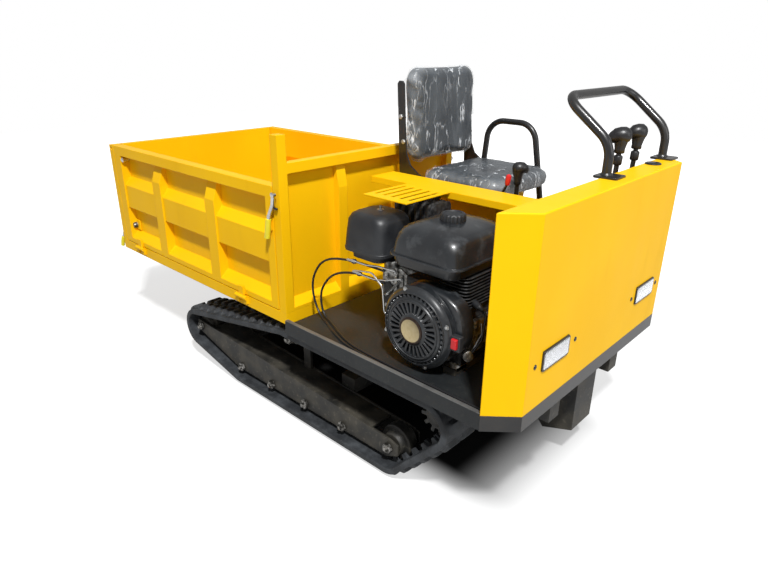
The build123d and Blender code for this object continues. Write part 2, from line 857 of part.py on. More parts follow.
# Rubber tracks, each one fixed loop with its lugs
belt_in = belt_path(0)
belt_out = belt_path(belt_thick)
lug_tips = belt_path(belt_thick + lug_high)
rim = belt_out.faces()[0].outer_wire()
for side, name in ((-1, "right"), (1, "left")):
    near_y = max(side * track_in, side * track_out)
    belt_plane = Plane(origin=(0, near_y, 0), x_dir=(1, 0, 0), z_dir=(0, -1, 0))
    with BuildPart() as track:
        with BuildSketch(belt_plane):
            add(belt_out)
            for i in range(lug_count):
                spot = rim.position_at(i / lug_count)
                run = rim.tangent_at(i / lug_count)
                with Locations(Location((spot.X, spot.Y, 0), (0, 0, degrees(atan2(run.Y, run.X))))):
                    Rectangle(26, 2 * lug_high + 8)
            add(lug_tips, mode=Mode.INTERSECT)
            add(belt_in, mode=Mode.SUBTRACT)
        extrude(amount=track_out - track_in)
    track.part.label = f"track_{name}"
    export_step(track.part, f"parts/track_{name}.step")

# Track frames, each an inverted channel over its rollers
with BuildPart() as track_frames:
    for side in (-1, 1):
        mid = side * track_mid
        for y in (mid - 54, mid + 54):
            with BuildSketch(Plane(origin=(0, y + 4, 0), x_dir=(1, 0, 0), z_dir=(0, -1, 0))):
                with BuildLine():
                    Polyline(
                        (-546, 190), (-546, 142), (-240, 58), (640, 58), (690, 82), (690, 122), (640, 134), close=True
                    )
                make_face()
            extrude(amount=8)
        with BuildSketch(Plane(origin=(0, mid + 50, 0), x_dir=(1, 0, 0), z_dir=(0, -1, 0))):
            with BuildLine():
                Polyline((-430, 183.5), (-430, 175.5), (560, 126.8), (560, 134.8), close=True)
            make_face()
        extrude(amount=100)
        with Locations((carrier[0], mid - side * 44, 245)):
            Box(40, 12, 184)
        with Locations((carrier[0], mid, carrier[1])):
            Cylinder(10, 120, rotation=(90, 0, 0), mode=Mode.SUBTRACT)
        for x in roller_xs:
            with Locations((x, mid, roller_z)):
                Cylinder(12, 140, rotation=(90, 0, 0), mode=Mode.SUBTRACT)
        for x, z, r in (rear_wheel, front_wheel):
            with Locations((x, mid, z)):
                Cylinder(14, 140, rotation=(90, 0, 0), mode=Mode.SUBTRACT)
track_frames.part.label = "track_frames"
export_step(track_frames.part, "parts/track_frames.step")

# Wheels that carry the tracks
with BuildPart() as rollers:
    for mid in (-track_mid, track_mid):
        for x in roller_xs:
            with Locations((x, mid, roller_z)):
                Cylinder(roller_r - 0.3, 44, rotation=(90, 0, 0))
                Cylinder(12, 128, rotation=(90, 0, 0))
        with Locations((carrier[0], mid, carrier[1])):
            Cylinder(carrier[2] - 0.3, 44, rotation=(90, 0, 0))
            Cylinder(10, 100, rotation=(90, 0, 0))
rollers.part.label = "rollers"
export_step(rollers.part, "parts/rollers.step")

with BuildPart() as idlers:
    for mid in (-track_mid, track_mid):
        for x, z, r in (rear_wheel, front_wheel):
            with Locations((x, mid, z)):
                Cylinder(r - 0.3, 44, rotation=(90, 0, 0))
                Cylinder(14, 130, rotation=(90, 0, 0))
idlers.part.label = "idlers"
export_step(idlers.part, "parts/idlers.step")

with BuildPart() as sprockets:
    for side in (-1, 1):
        with BuildSketch(Plane(origin=(0, side * track_mid + 20, 0), x_dir=(1, 0, 0), z_dir=(0, -1, 0))):
            with Locations((drive_wheel[0], drive_wheel[1])):
                Circle(drive_wheel[2] - 12)
                with PolarLocations(drive_wheel[2] - 12, 11):
                    Rectangle(22.2, 16)
        extrude(amount=40)
        with Locations((drive_wheel[0], side * 322, drive_wheel[1])):
            Cylinder(40, 104, rotation=(90, 0, 0))
sprockets.part.label = "sprockets"
export_step(sprockets.part, "parts/sprockets.step")

# Gearbox between the two drive axles
with BuildPart() as gearbox:
    with Locations((drive_wheel[0], 0, drive_wheel[1] - 40)):
        Box(150, 250, 200)
    with Locations((drive_wheel[0], 0, 334)):
        Box(60, 2 * rail_y - 60, 18)
    with Locations((drive_wheel[0], 0, drive_wheel[1])):
        Cylinder(28, 540, rotation=(90, 0, 0))
gearbox.part.label = "gearbox"
export_step(gearbox.part, "parts/gearbox.step")
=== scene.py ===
"""Looks of a ride-on tracked site dumper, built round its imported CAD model."""

from math import cos, pi, radians, sin

import bpy
import numpy as np
from mathutils import Matrix, Vector


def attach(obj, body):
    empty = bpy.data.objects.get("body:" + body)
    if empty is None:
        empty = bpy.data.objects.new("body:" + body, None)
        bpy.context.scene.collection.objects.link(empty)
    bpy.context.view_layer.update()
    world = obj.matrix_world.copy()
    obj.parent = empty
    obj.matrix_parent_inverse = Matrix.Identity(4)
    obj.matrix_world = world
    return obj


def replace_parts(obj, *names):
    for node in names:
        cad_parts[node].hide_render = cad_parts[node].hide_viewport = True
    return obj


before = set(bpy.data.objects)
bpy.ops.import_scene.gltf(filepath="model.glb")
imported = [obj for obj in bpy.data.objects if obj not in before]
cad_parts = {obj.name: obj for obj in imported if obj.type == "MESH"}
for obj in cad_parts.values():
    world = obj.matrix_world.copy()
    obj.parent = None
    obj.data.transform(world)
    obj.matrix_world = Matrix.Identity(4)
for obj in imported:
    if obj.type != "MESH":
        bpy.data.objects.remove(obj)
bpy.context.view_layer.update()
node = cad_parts

# Camera. The photograph was taken by eye from ahead of the machine's right front
# corner, a little above the seat, with a wide lens that looks slightly down.
eye = Vector((1.774, -1.689, 1.376))
yaw, pitch, roll = radians(42.9), radians(22.39), radians(0.51)
ahead = Vector((-sin(yaw) * cos(pitch), cos(yaw) * cos(pitch), -sin(pitch)))
level = Vector((cos(yaw), sin(yaw), 0))
upward = level.cross(ahead)
right = cos(roll) * level + sin(roll) * upward
upward = cos(roll) * upward - sin(roll) * level
camera = bpy.data.objects.new("camera", bpy.data.cameras.new("camera"))
camera.data.lens = 27.98
camera.data.clip_end = 60
camera.matrix_world = Matrix.Translation(eye) @ Matrix((right, upward, -ahead)).transposed().to_4x4()
bpy.context.scene.collection.objects.link(camera)
bpy.context.scene.camera = camera
bpy.context.scene.view_settings.view_transform = "Standard"


class Wire:
    """A shader socket that takes part in plain arithmetic, by Math nodes."""

    def __init__(self, recipe, socket):
        self.recipe = recipe
        self.socket = socket

    def _math(self, operation, first, second=0.0):
        return self.recipe.node("ShaderNodeMath", {"operation": operation}, {0: first, 1: second})

    def __add__(self, other):
        return self._math("ADD", self, other)

    def __sub__(self, other):
        return self._math("SUBTRACT", self, other)

    def __rsub__(self, other):
        return self._math("SUBTRACT", other, self)

    def __mul__(self, other):
        return self._math("MULTIPLY", self, other)

    def __abs__(self):
        return self._math("ABSOLUTE", self)

    __radd__ = __add__

    def greatest(self, *others):
        """The greatest of this and other masks."""
        top = self
        for other in others:
            top = self._math("MAXIMUM", top, other)
        return top

    def above(self, low, high):
        """Rise smoothly from 0 at low to 1 at high."""
        return self.recipe.node(
            "ShaderNodeMapRange",
            {"interpolation_type": "SMOOTHSTEP"},
            {"Value": self, "From Min": low, "From Max": high},
        )


class Nodes:
    """A node tree that grows one node at a time."""

    def __init__(self, tree):
        self.tree = tree

    def node(self, kind, settings=None, inputs=None, output=0):
        """Add one node: its settings, then its sockets' values or links."""
        made = self.tree.nodes.new(kind)
        for key, value in (settings or {}).items():
            setattr(made, key, value)
        for key, value in (inputs or {}).items():
            if isinstance(value, Wire):
                self.tree.links.new(value.socket, made.inputs[key])
            else:
                made.inputs[key].default_value = value
        return Wire(self, made.outputs[output])

    def seen(self, glossy_share):
        """1 for camera and transmitted rays, a share for reflections, 0 for rays that light the scene."""
        rays = ("Is Camera Ray", "Is Transmission Ray", "Is Glossy Ray")
        camera_ray, clear_ray, glossy_ray = (self.node("ShaderNodeLightPath", output=ray) for ray in rays)
        return camera_ray.greatest(clear_ray, glossy_ray * glossy_share)


class Recipe(Nodes):
    """One material, written node by node round a Principled shader."""

    def __init__(self, name, slot="painted_black", **constants):
        self.material = bpy.data.materials.new(name)
        self.material.use_nodes = True
        self.material["slot"] = slot
        super().__init__(self.material.node_tree)
        self.shader = self.tree.nodes["Principled BSDF"]
        for socket, value in constants.items():
            self.shader.inputs[socket.replace("_", " ")].default_value = value

    def place(self):
        """Read the Object coordinates, which are the machine's own metres."""
        return self.node("ShaderNodeTexCoord", output="Object")

    def axis(self, letter):
        """Read one of the Object coordinates."""
        return self.node("ShaderNodeSeparateXYZ", {}, {0: self.place()}, output=letter)

    def noise(self, scale, detail=3.0, stretch=None, rough=0.5):
        """A cloudy mask from 0 to 1, drawn out along an axis where asked."""
        where = self.place()
        if stretch:
            where = self.node("ShaderNodeMapping", {}, {"Vector": where, "Scale": stretch})
        inputs = {"Vector": where, "Scale": scale, "Detail": detail, "Roughness": rough}
        return self.node("ShaderNodeTexNoise", {}, inputs)

    def tint(self, mask, dark, light):
        """Blend two plain colours by a mask."""
        return self.blend(mask, (*dark, 1), (*light, 1))

    def blend(self, mask, first, second):
        """Blend two colours or colour wires by a mask."""
        return self.node("ShaderNodeMix", {"data_type": "RGBA"}, {"Factor": mask, 6: first, 7: second}, output=2)

    def relief(self, height, distance, strength=1.0, under=None):
        """Turn a height mask into a bumped normal, over another where given."""
        inputs = {"Height": height, "Distance": distance, "Strength": strength}
        if under:
            inputs["Normal"] = under
        return self.node("ShaderNodeBump", {}, inputs)

    def rounded(self, radius):
        """A normal that rounds the piece's sharp edges."""
        return self.node("ShaderNodeBevel", {"samples": 6}, {"Radius": radius})

    def set(self, **wires):
        """Link what changes over the surface to the shader."""
        for socket, wire in wires.items():
            self.tree.links.new(wire.socket, self.shader.inputs[socket.replace("_", " ")])
        return self.material


def mottled(name, slot, metallic, grain, dark, light, rough, span=(), edge=0):
    """A finish whose colour and roughness follow one noise, with relief where an edge radius is given."""
    paint = Recipe(name, slot, Metallic=metallic)
    mask = paint.noise(*grain)
    if edge:
        paint.set(Normal=paint.relief(mask, 0.001, 0.5, paint.rounded(edge)))
    tone = paint.tint(mask.above(*span) if span else mask, dark, light)
    return paint.set(Base_Color=tone, Roughness=rough[0] + mask * rough[1])


# Floor and light. A pale floor with a painted shadow, near black, under the machine, that fades into a white
# surround. One lamp high above the camera is the sun, and a weak one stands ahead.
floor_mesh = bpy.data.meshes.new("floor")
floor_mesh.from_pydata([(x, y, 0) for x, y in ((-9, -9), (9, -9), (9, 9), (-9, 9))], [], [(0, 1, 2, 3)])
floor = bpy.data.objects.new("floor", floor_mesh)
bpy.context.scene.collection.objects.link(floor)
paper = Recipe("floor_paper", Roughness=1.0, Specular_IOR_Level=0.0)
paper.shader.inputs["Emission Color"].default_value = (1, 1, 1, 1)
# Painted shadow under the machine: near black to 0.65 m ahead of and behind the tracks' middle, faded out by 1 m.
painted_shadow_beneath = (1 - abs(paper.axis("X") - 0.15).above(0.65, 1.0)) * (1 - abs(paper.axis("Y")).above(0.27, 0.43))
distance = paper.node("ShaderNodeVectorMath", {"operation": "LENGTH"}, {0: paper.place()}, output="Value")
# The white glow is held back where the painted shadow lies.
glow = (1 - painted_shadow_beneath) * 0.66 + distance.above(1.6, 2.8) * 0.6
paper.set(Base_Color=paper.tint(painted_shadow_beneath, (0.4, 0.4, 0.4), (0.012, 0.012, 0.012)))
paper.tree.links.new((paper.seen(0.35) * glow).socket, paper.shader.inputs["Emission Strength"])
floor_mesh.materials.append(paper.material)

surround = bpy.data.worlds.new("surround")
surround.use_nodes = True
bpy.context.scene.world = surround
sky = Nodes(surround.node_tree)
backdrop = sky.tree.nodes["Background"]
backdrop.inputs["Color"].default_value = (1, 1, 1, 1)
sky.tree.links.new((sky.seen(0.3) * 0.71 + 0.29).socket, backdrop.inputs["Strength"])

for name, place, aim, size, watts in (
    ("main_lamp", (4.13, -3.47, 7.66), (-0.1, 0, 0.5), 0.6, 940),
    ("front_lamp", (4.2, 0.6, 2.2), (0, 0, 0.6), 2.0, 26),
):
    lamp = bpy.data.objects.new(name, bpy.data.lights.new(name, "AREA"))
    lamp.data.size = size
    lamp.data.energy = watts
    lamp.location = place
    lamp.rotation_euler = (Vector(place) - Vector(aim)).to_track_quat("Z", "Y").to_euler()
    bpy.context.scene.collection.objects.link(lamp)


# Yellow paint. Sprayed gloss enamel on folded steel sheet, with faint orange peel,
# a little dust in patches, and edges that are softened by the folding.
def repaint(paint, *names):
    """Give CAD nodes a new finish."""
    for name in names:
        node[name].data.materials.clear()
        node[name].data.materials.append(paint)


enamel = Recipe("yellow_enamel", "painted_yellow", Specular_IOR_Level=0.06, Coat_Weight=0.02, Coat_Roughness=0.1)
shade = enamel.noise(2.2, 4)
streak = enamel.noise(9, 5, (1, 1, 0.25))
rub = enamel.noise(38, 6, (1, 1, 0.6), 0.7)
yellow = enamel.tint(shade.above(0.3, 0.7), (0.93, 0.515, 0.0035), (0.985, 0.565, 0.0045))
yellow = enamel.blend(
    streak.above(0.56, 0.8) * 0.3, yellow, enamel.tint(shade, (0.74, 0.38, 0.008), (0.8, 0.42, 0.01))
)
yellow = enamel.blend(rub.above(0.7, 0.82) * 0.35, yellow, enamel.tint(shade, (0.42, 0.25, 0.03), (0.5, 0.3, 0.05)))
peel = enamel.relief(enamel.noise(520, 1), 0.0002, 0.35, enamel.rounded(0.003))
yellow_paint = enamel.set(Base_Color=yellow, Roughness=0.3 + streak * 0.16, Normal=peel)
repaint(
    yellow_paint, "bed_frame", "bed_lugs", "headboard", "side_gate_right", "side_gate_left", "rear_gate",
    "front_cowl", "divider", "seat_pedestal",
)

# Black paint. Gloss black on the tubes, the chassis and the small brackets, with
# brown dust in patches.
gloss = Recipe("black_enamel", Coat_Weight=0.35, Coat_Roughness=0.08)
dust = gloss.noise(7, 5)
black = gloss.tint(dust.above(0.45, 0.75), (0.006, 0.006, 0.007), (0.016, 0.015, 0.014))
black_paint = gloss.set(Base_Color=black, Roughness=0.25 + dust * 0.2, Normal=gloss.rounded(0.002))
dusty = Recipe("dusty_steel", "dark_steel", Coat_Weight=0.04)
soil = dusty.noise(11, 6)
fleck = dusty.noise(60, 4)
grey = dusty.tint(soil.above(0.35, 0.7), (0.012, 0.012, 0.011), (0.058, 0.052, 0.04))
grey = dusty.blend(fleck.above(0.58, 0.7) * 0.5, grey, dusty.tint(soil, (0.08, 0.074, 0.058), (0.13, 0.115, 0.09)))
grime = dusty.relief(fleck, 0.0008, 0.45, dusty.rounded(0.003))
dusty_paint = dusty.set(Base_Color=grey, Roughness=0.42 + soil * 0.3, Normal=grime)
repaint(black_paint, "base_rail", "seat_frame", "tip_barrel")
repaint(
    dusty_paint, "main_frame", "tip_brackets", "cross_arms", "cylinder_foot", "belly_guard", "track_frames",
    "gearbox", "engine_base",
)

# Deck. Black-painted sheet, scuffed to a brown grey where boots land. The tops of its
# raised lips are painted bright bare steel, a painted highlight.
boards = Recipe("scuffed_deck", Coat_Weight=0.05, Specular_IOR_Level=0.4)
scuff = boards.noise(5, 6, None, 0.62)
grit = boards.noise(90, 3)
floor_tone = boards.tint(scuff.above(0.3, 0.72), (0.006, 0.0075, 0.009), (0.019, 0.022, 0.023))
floor_tone = boards.blend(
    grit.above(0.55, 0.8) * 0.4, floor_tone, boards.tint(scuff, (0.036, 0.036, 0.032), (0.056, 0.055, 0.048))
)
# Painted highlight: bright, partly metallic grey along the lips' tops, above 0.46 m.
lip = boards.axis("Z").above(0.4585, 0.4605) * scuff.above(0.25, 0.6)
floor_tone = boards.blend(lip * 0.8, floor_tone, boards.tint(scuff, (0.2, 0.2, 0.2), (0.34, 0.34, 0.33)))
deck_paint = boards.set(
    Base_Color=floor_tone,
    Roughness=0.4 + scuff * 0.3,
    Metallic=lip * 0.7,
    Normal=boards.relief(grit, 0.0005, 0.35, boards.rounded(0.002)),
)
repaint(deck_paint, "deck")


# Tracks. Endless rubber belts with cross lugs outside, split by a centre groove, and
# with pairs of steel guide teeth inside that the wheels run between.
def show(name, points, faces, paint, sharp=40, body="chassis"):
    """Make a mesh of points in millimetres, smooth but for its sharp edges, that rides on a body."""
    mesh = bpy.data.meshes.new(name)
    mesh.from_pydata((np.asarray(points, float).reshape(-1, 3) / 1000).tolist(), [], faces)
    mesh.materials.append(paint)
    mesh.polygons.foreach_set("use_smooth", np.ones(len(mesh.polygons), bool))
    mesh.set_sharp_from_angle(angle=radians(sharp))
    piece = bpy.data.objects.new(name, mesh)
    bpy.context.scene.collection.objects.link(piece)
    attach(piece, body)
    return piece


def quads(rows, columns, close_rows=False):
    """Join a grid of points row by row, closed along its columns and, where asked, its rows."""
    i, j = np.meshgrid(np.arange(rows if close_rows else rows - 1), np.arange(columns), indexing="ij")
    up, on = (i + 1) % rows, (j + 1) % columns
    corners = (i * columns + j, i * columns + on, up * columns + on, up * columns + j)
    return np.stack(corners, -1).reshape(-1, 4).tolist()


def step(value, low, high):
    """Rise smoothly from 0 at low to 1 at high, as 3t^2 - 2t^3."""
    t = np.clip((value - low) / (high - low), 0, 1)
    return t * t * (3 - 2 * t)


track_y = 390
idlers = ((-514, 166, 64), (649, 100, 64))
sprocket = (819, 283, 66)
carrier = (114, 317, 32)
rollers = [(x, 74, 38) for x in (-208, 1, 210, 420)]
wheels = np.array([*idlers, sprocket, carrier, rollers[0], rollers[-1]])
lug_count, lug_rows = 54, 16
belt_rows = lug_count * lug_rows
turn = np.linspace(0, 2 * pi, 7200, endpoint=False)
facing = np.stack((np.sin(turn), np.cos(turn)), -1)
support = wheels[:, :2] @ facing.T + wheels[:, 2:]
holder = support.argmax(0)
loop = wheels[holder, :2] + wheels[holder, 2:] * facing
gone = np.append(0, np.cumsum(np.linalg.norm(np.roll(loop, -1, 0) - loop, axis=1)))
spots = np.linspace(0, gone[-1], belt_rows, endpoint=False)
belt = np.stack([np.interp(spots, gone, np.append(loop[:, k], loop[0, k])) for k in (0, 1)], -1)
along = np.roll(belt, -1, 0) - np.roll(belt, 1, 0)
along /= np.linalg.norm(along, axis=1, keepdims=True)
outward = np.stack((-along[:, 1], along[:, 0]), -1)

rubber = Recipe("track_rubber", "track_rubber", Specular_IOR_Level=0.4)
mud = rubber.noise(16, 6, None, 0.6)
scar = rubber.noise(130, 3)
tone = rubber.tint(mud.above(0.35, 0.75), (0.02, 0.022, 0.025), (0.062, 0.068, 0.075))
tone = rubber.blend(scar.above(0.62, 0.8) * 0.4, tone, rubber.tint(mud, (0.1, 0.1, 0.098), (0.15, 0.15, 0.145)))
track_paint = rubber.set(Base_Color=tone, Roughness=0.5 + mud * 0.25, Normal=rubber.relief(scar, 0.0008, 0.5))

phase = (np.arange(belt_rows) / lug_rows) % 1
half_across = np.array([10, 14, 27, 28, 39, 40, 64, 70, 78, 84, 88, 89.4, 90])
across = np.concatenate((-half_across[::-1], [0], half_across))
lug = step(0.27 - abs(phase - 0.5), 0, 0.05)[:, None]
groove = 1 - 0.75 * step(14 - abs(across), 0, 4)
edge = 1 - step(abs(across), 66, 80)
side_rim = step(abs(across), 87.5, 90.5)
outer = 22 - 4 * side_rim + 13.8 * lug * groove * edge
tooth = step(0.2 - abs(phase - 0.5), 0, 0.04)[:, None] * step(6.2 - abs(abs(across) - 33.5), 0, 0.4)
inner = 3 * side_rim - 19 * tooth
section = np.concatenate((outer, inner[:, ::-1]), 1)
section_y = np.concatenate((across, across[::-1]))
for name, middle in (("track_right", -track_y), ("track_left", track_y)):
    flat = belt[:, None] + section[..., None] * outward[:, None]
    skin = np.stack((flat[..., 0], np.broadcast_to(section_y + middle, section.shape), flat[..., 1]), -1)
    belt_faces = quads(belt_rows, len(section_y), True)
    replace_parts(show(f"rubber_{name}", skin, belt_faces, track_paint, 35), name)


# Rollers, idlers and sprockets. Cast steel wheels on through axles. Each runs on a
# narrow centre rim between the guide teeth, and its hub ends in a dusty hex nut.
def unit(direction):
    """A direction as an array of length one."""
    return np.asarray(direction, float) / np.linalg.norm(direction)


def square_to(axis):
    """A unit direction at right angles to an axis."""
    return unit(np.cross(axis, (0, 0, 1.0) if abs(axis[2]) < 0.9 else (1.0, 0, 0)))


def loft(name, rings, paint, sharp, body="chassis"):
    """Skin a stack of closed rings and cap its two ends."""
    rows, sides = len(rings), len(rings[0])
    ends = [list(range(sides))[::-1], list(range((rows - 1) * sides, rows * sides))]
    return show(name, np.array(rings), quads(rows, sides) + ends, paint, sharp, body)


def spun(name, profile, centre, axis, paint, sides=40, sharp=35, body="chassis"):
    """Turn a profile of (distance along the axis, radius) about that axis through a centre."""
    profile = np.asarray(profile, float)
    axis = unit(axis)
    first = square_to(axis)
    second = np.cross(axis, first)
    angle = np.arange(sides) * 2 * pi / sides
    ring = np.cos(angle)[:, None] * first + np.sin(angle)[:, None] * second
    rings = np.asarray(centre) + profile[:, 0, None, None] * axis + profile[:, 1, None, None] * ring
    return loft(name, rings, paint, sharp, body)


def joined(name, parts):
    """Make one piece of several that ride on the same body."""
    with bpy.context.temp_override(active_object=parts[0], selected_editable_objects=parts):
        bpy.ops.object.join()
    parts[0].name = name
    parts[0].data.name = name
    return parts[0]


zinc_plate = mottled("zinc_plate", "chrome_trim", 1.0, (60, 3), (0.36, 0.37, 0.38), (0.62, 0.62, 0.6), (0.25, 0.25))
worn_nut = mottled(
    "worn_nuts", "dark_steel", 0.8, (80, 4), (0.05, 0.048, 0.042), (0.36, 0.35, 0.33), (0.3, 0.3), (0.4, 0.62),
)
hex_nut = [(0, 19), (10, 19), (12.5, 15), (12.6, 9), (19, 9), (20, 7)]
running_gap = 0.3
for kind, places, hub, reaches in (
    ("roller", [*rollers, carrier], 12, (64, 64, 64, 64, 50)),
    ("idler", idlers, 14, (65, 65)),
):
    parts = []
    for (x, z, r), reach in zip(places, reaches):
        r -= running_gap
        rim = [(0, r), (18, r), (21, r - 3), (21, r * 0.72), (36, r * 0.66), (40, r * 0.6)]
        wheel = np.array([*rim, (40, hub), (reach, hub)])
        whole = np.concatenate((wheel[::-1] * (-1, 1), wheel))
        for middle in (-track_y, track_y):
            parts.append(spun(kind, whole, (x, middle, z), (0, 1, 0), dusty_paint, 44))
            for end in (-1, 1):
                face = (x, middle + end * (reach - 4), z)
                parts.append(spun(kind, hex_nut, face, (0, end, 0), worn_nut, 6, 20))
    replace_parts(joined(f"cast_{kind}s", parts), f"{kind}s")

tooth_count = 11
tooth_turn = np.linspace(0, 2 * pi, tooth_count * 16, endpoint=False)
tooth_rim = 45 + 20.5 * step(np.cos(tooth_count * tooth_turn), -0.15, 0.55)
sprocket_hub = [(0, 39), (100, 39), (103, 36), (145, 30), (150, 20)]
parts = []
for side in (-1, 1):
    rings = []
    for y, grow in ((-19.5, 0.97), (-17.5, 1), (17.5, 1), (19.5, 0.97)):
        r = tooth_rim * grow
        tooth_x, tooth_z = sprocket[0] + r * np.sin(tooth_turn), sprocket[1] + r * np.cos(tooth_turn)
        rings.append(np.stack((tooth_x, np.full_like(r, side * track_y + y), tooth_z), -1))
    parts.append(loft("sprocket", rings, dusty_paint, 30))
    hub_start = (sprocket[0], side * 271, sprocket[1])
    parts.append(spun("sprocket_hub", sprocket_hub, hub_start, (0, side, 0), dusty_paint))
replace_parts(joined("cast_sprockets", parts), "sprockets")


# Grab bar and side hoop. Bent steel tube in gloss black, welded to small foot plates
# on the cowl's top and on the deck.
def bent(corners, radii, steps=9):
    """Replace each corner of a run of points by an arc that starts and ends equally far from it."""
    corners = np.asarray(corners, float)
    radii = np.broadcast_to(np.asarray(radii, float), len(corners) - 2)
    run = [corners[:1]]
    for before, corner, after, radius in zip(corners, corners[1:], corners[2:], radii):
        a, b = unit(before - corner), unit(after - corner)
        half = np.arccos(np.clip(a @ b, -1, 1)) / 2
        reach = radius / np.tan(half)
        centre = corner + unit(a + b) * radius / np.sin(half)
        start, end = corner + a * reach - centre, corner + b * reach - centre
        t = np.linspace(0, 1, steps)[:, None]
        swept = pi - 2 * half
        run.append(centre + (np.sin((1 - t) * swept) * start + np.sin(t * swept) * end) / np.sin(swept))
    run.append(corners[-1:])
    return np.concatenate(run)


def tube(name, line, radius, paint, sides=20, sharp=50, body="chassis"):
    """Carry a circle along a line, turned as little as possible. Its radius may change on the way."""
    line = np.asarray(line, float)
    radius = np.broadcast_to(np.asarray(radius, float), len(line))
    heading = np.gradient(line, axis=0)
    heading /= np.linalg.norm(heading, axis=1, keepdims=True)
    first = square_to(heading[0])
    angle = np.arange(sides) * 2 * pi / sides
    rings = []
    for spot, onward, r in zip(line, heading, radius):
        first = unit(first - onward * (first @ onward))
        second = np.cross(onward, first)
        rings.append(spot + r * (np.cos(angle)[:, None] * first + np.sin(angle)[:, None] * second))
    return loft(name, rings, paint, sharp, body)


# The axes of a block's width, depth and length: grown upwards, forwards and sideways.
upright = ((1, 0, 0), (0, 1, 0), (0, 0, 1))
onwards = ((0, 1, 0), (0, 0, 1), (1, 0, 0))
sideways = ((1, 0, 0), (0, 0, 1), (0, 1, 0))


def block(name, rows, origin, paint, count=10, sharp=35, axes=upright, body="chassis"):
    """Loft rounded rectangles. A row is (distance, half width, half depth, corner radius)."""
    u, v, w = (unit(axis) for axis in axes)
    quarter = np.linspace(0, pi / 2, count)
    angle = np.concatenate([quarter + k * pi / 2 for k in range(4)])
    sign_u = np.repeat((1, -1, -1, 1), count)
    sign_v = np.repeat((1, 1, -1, -1), count)
    rings = []
    for far, half_u, half_v, corner in rows:
        a = sign_u * (half_u - corner) + corner * np.cos(angle)
        b = sign_v * (half_v - corner) + corner * np.sin(angle)
        rings.append(np.asarray(origin) + far * w + a[:, None] * u + b[:, None] * v)
    if np.cross(u, v) @ w < 0:
        rings = [ring[::-1] for ring in rings]
    return loft(name, rings, paint, sharp, body)


def plate(name, centre, half, paint, corner=8, lip=1, axes=upright, body="chassis"):
    """A flat plate with softened edges, centred on a point."""
    a, b, c = half
    corner = max(corner, lip * 1.01)
    soft = (a - lip, b - lip, corner - lip * 0.5)
    rows = [(-c, *soft), (-c + lip, a, b, corner), (c - lip, a, b, corner), (c, *soft)]
    return block(name, rows, centre, paint, 5, 35, axes, body)


def bolt(name, spot, axis, size):
    """A hex head with a chamfered top on a round washer. Size is the head's radius."""
    head = [(0.25 * size, size), (0.85 * size, size), (1.0 * size, 0.85 * size)]
    washer = [(0, size * 1.35), (0.22 * size, size * 1.35), (0.25 * size, size * 1.28)]
    return [spun(name, part, spot, axis, zinc_plate, sides, 20) for part, sides in ((head, 6), (washer, 20))]


bar_near, bar_far = 42, 490
bar_line = bent(
    [
        (1056, bar_near, 1017),
        (1056, bar_near, 1108),
        (902, bar_near - 6, 1232),
        (904, bar_far, 1232),
        (1056, bar_far, 1108),
        (1056, bar_far, 1017),
    ],
    (90, 56, 60, 90),
    14,
)
parts = [tube("grab_bar_tube", bar_line, 14.2, black_paint, 28)]
for y, foot_y in ((bar_near, bar_near), (bar_far, bar_far - 8)):
    parts.append(plate("grab_bar_foot", (1066, foot_y, 1016.5), (37, 36, 3.5), black_paint))
    parts.append(
        spun("weld", [(0, 19), (2, 18.5), (6.5, 14.5)], (1056, y, 1019), (0, 0, 1), black_paint, 24)
    )
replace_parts(joined("bent_grab_bar", parts), "grab_bar")

hoop_y = 484
hoop_line = bent(
    [
        (322, hoop_y, 441),
        (322, hoop_y, 800),
        (346, hoop_y, 1082),
        (556, hoop_y, 1082),
        (612, hoop_y, 800),
        (612, hoop_y, 441),
    ],
    78,
    14,
)
parts = [tube("side_hoop_tube", hoop_line, 12, black_paint, 24)]
for x in (322, 612):
    parts.append(plate("hoop_foot", (x, 482, 443.5), (28, 22, 3), black_paint))
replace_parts(joined("bent_side_hoop", parts), "side_hoop")

# Steering levers and gear lever. Black rods with moulded rubber pistol grips, each
# above a collar; the gear lever has the same grip and a short red-capped one beside it.
moulded = Recipe("moulded_rubber", "grip_rubber", Specular_IOR_Level=0.5)
pore = moulded.noise(300, 2)
grip_paint = moulded.set(
    Base_Color=moulded.tint(pore, (0.007, 0.007, 0.008), (0.014, 0.014, 0.016)),
    Roughness=0.3 + pore * 0.15,
    Normal=moulded.relief(pore, 0.0003, 0.3),
)


def grip(foot, rise, far, beak, reach, girth):
    """A pistol grip: a waisted neck along the lever, and across its top a pod that thins to a beak."""
    neck_far = far + np.array((0, 3, 14, 30, 46, 56))
    neck_girth = girth * np.array((0.5, 0.62, 0.6, 0.72, 0.9, 0.96))
    neck = tube("grip_neck", foot + neck_far[:, None] * rise, neck_girth, grip_paint, 28)
    t = np.array((-1, -0.95, -0.8, -0.5, -0.1, 0.3, 0.62, 0.86, 1.0, 1.06))
    pod_line = foot + (far + 56) * rise + np.outer(t * reach + 6, unit(beak))
    pod_line[:, 2] -= 16 * np.clip(t, 0, 1) ** 2
    pod_girth = girth * np.array((0.1, 0.42, 0.74, 0.97, 1.0, 0.93, 0.72, 0.46, 0.26, 0.06))
    return [neck, tube("grip_pod", pod_line, pod_girth, grip_paint, 32, 80)]


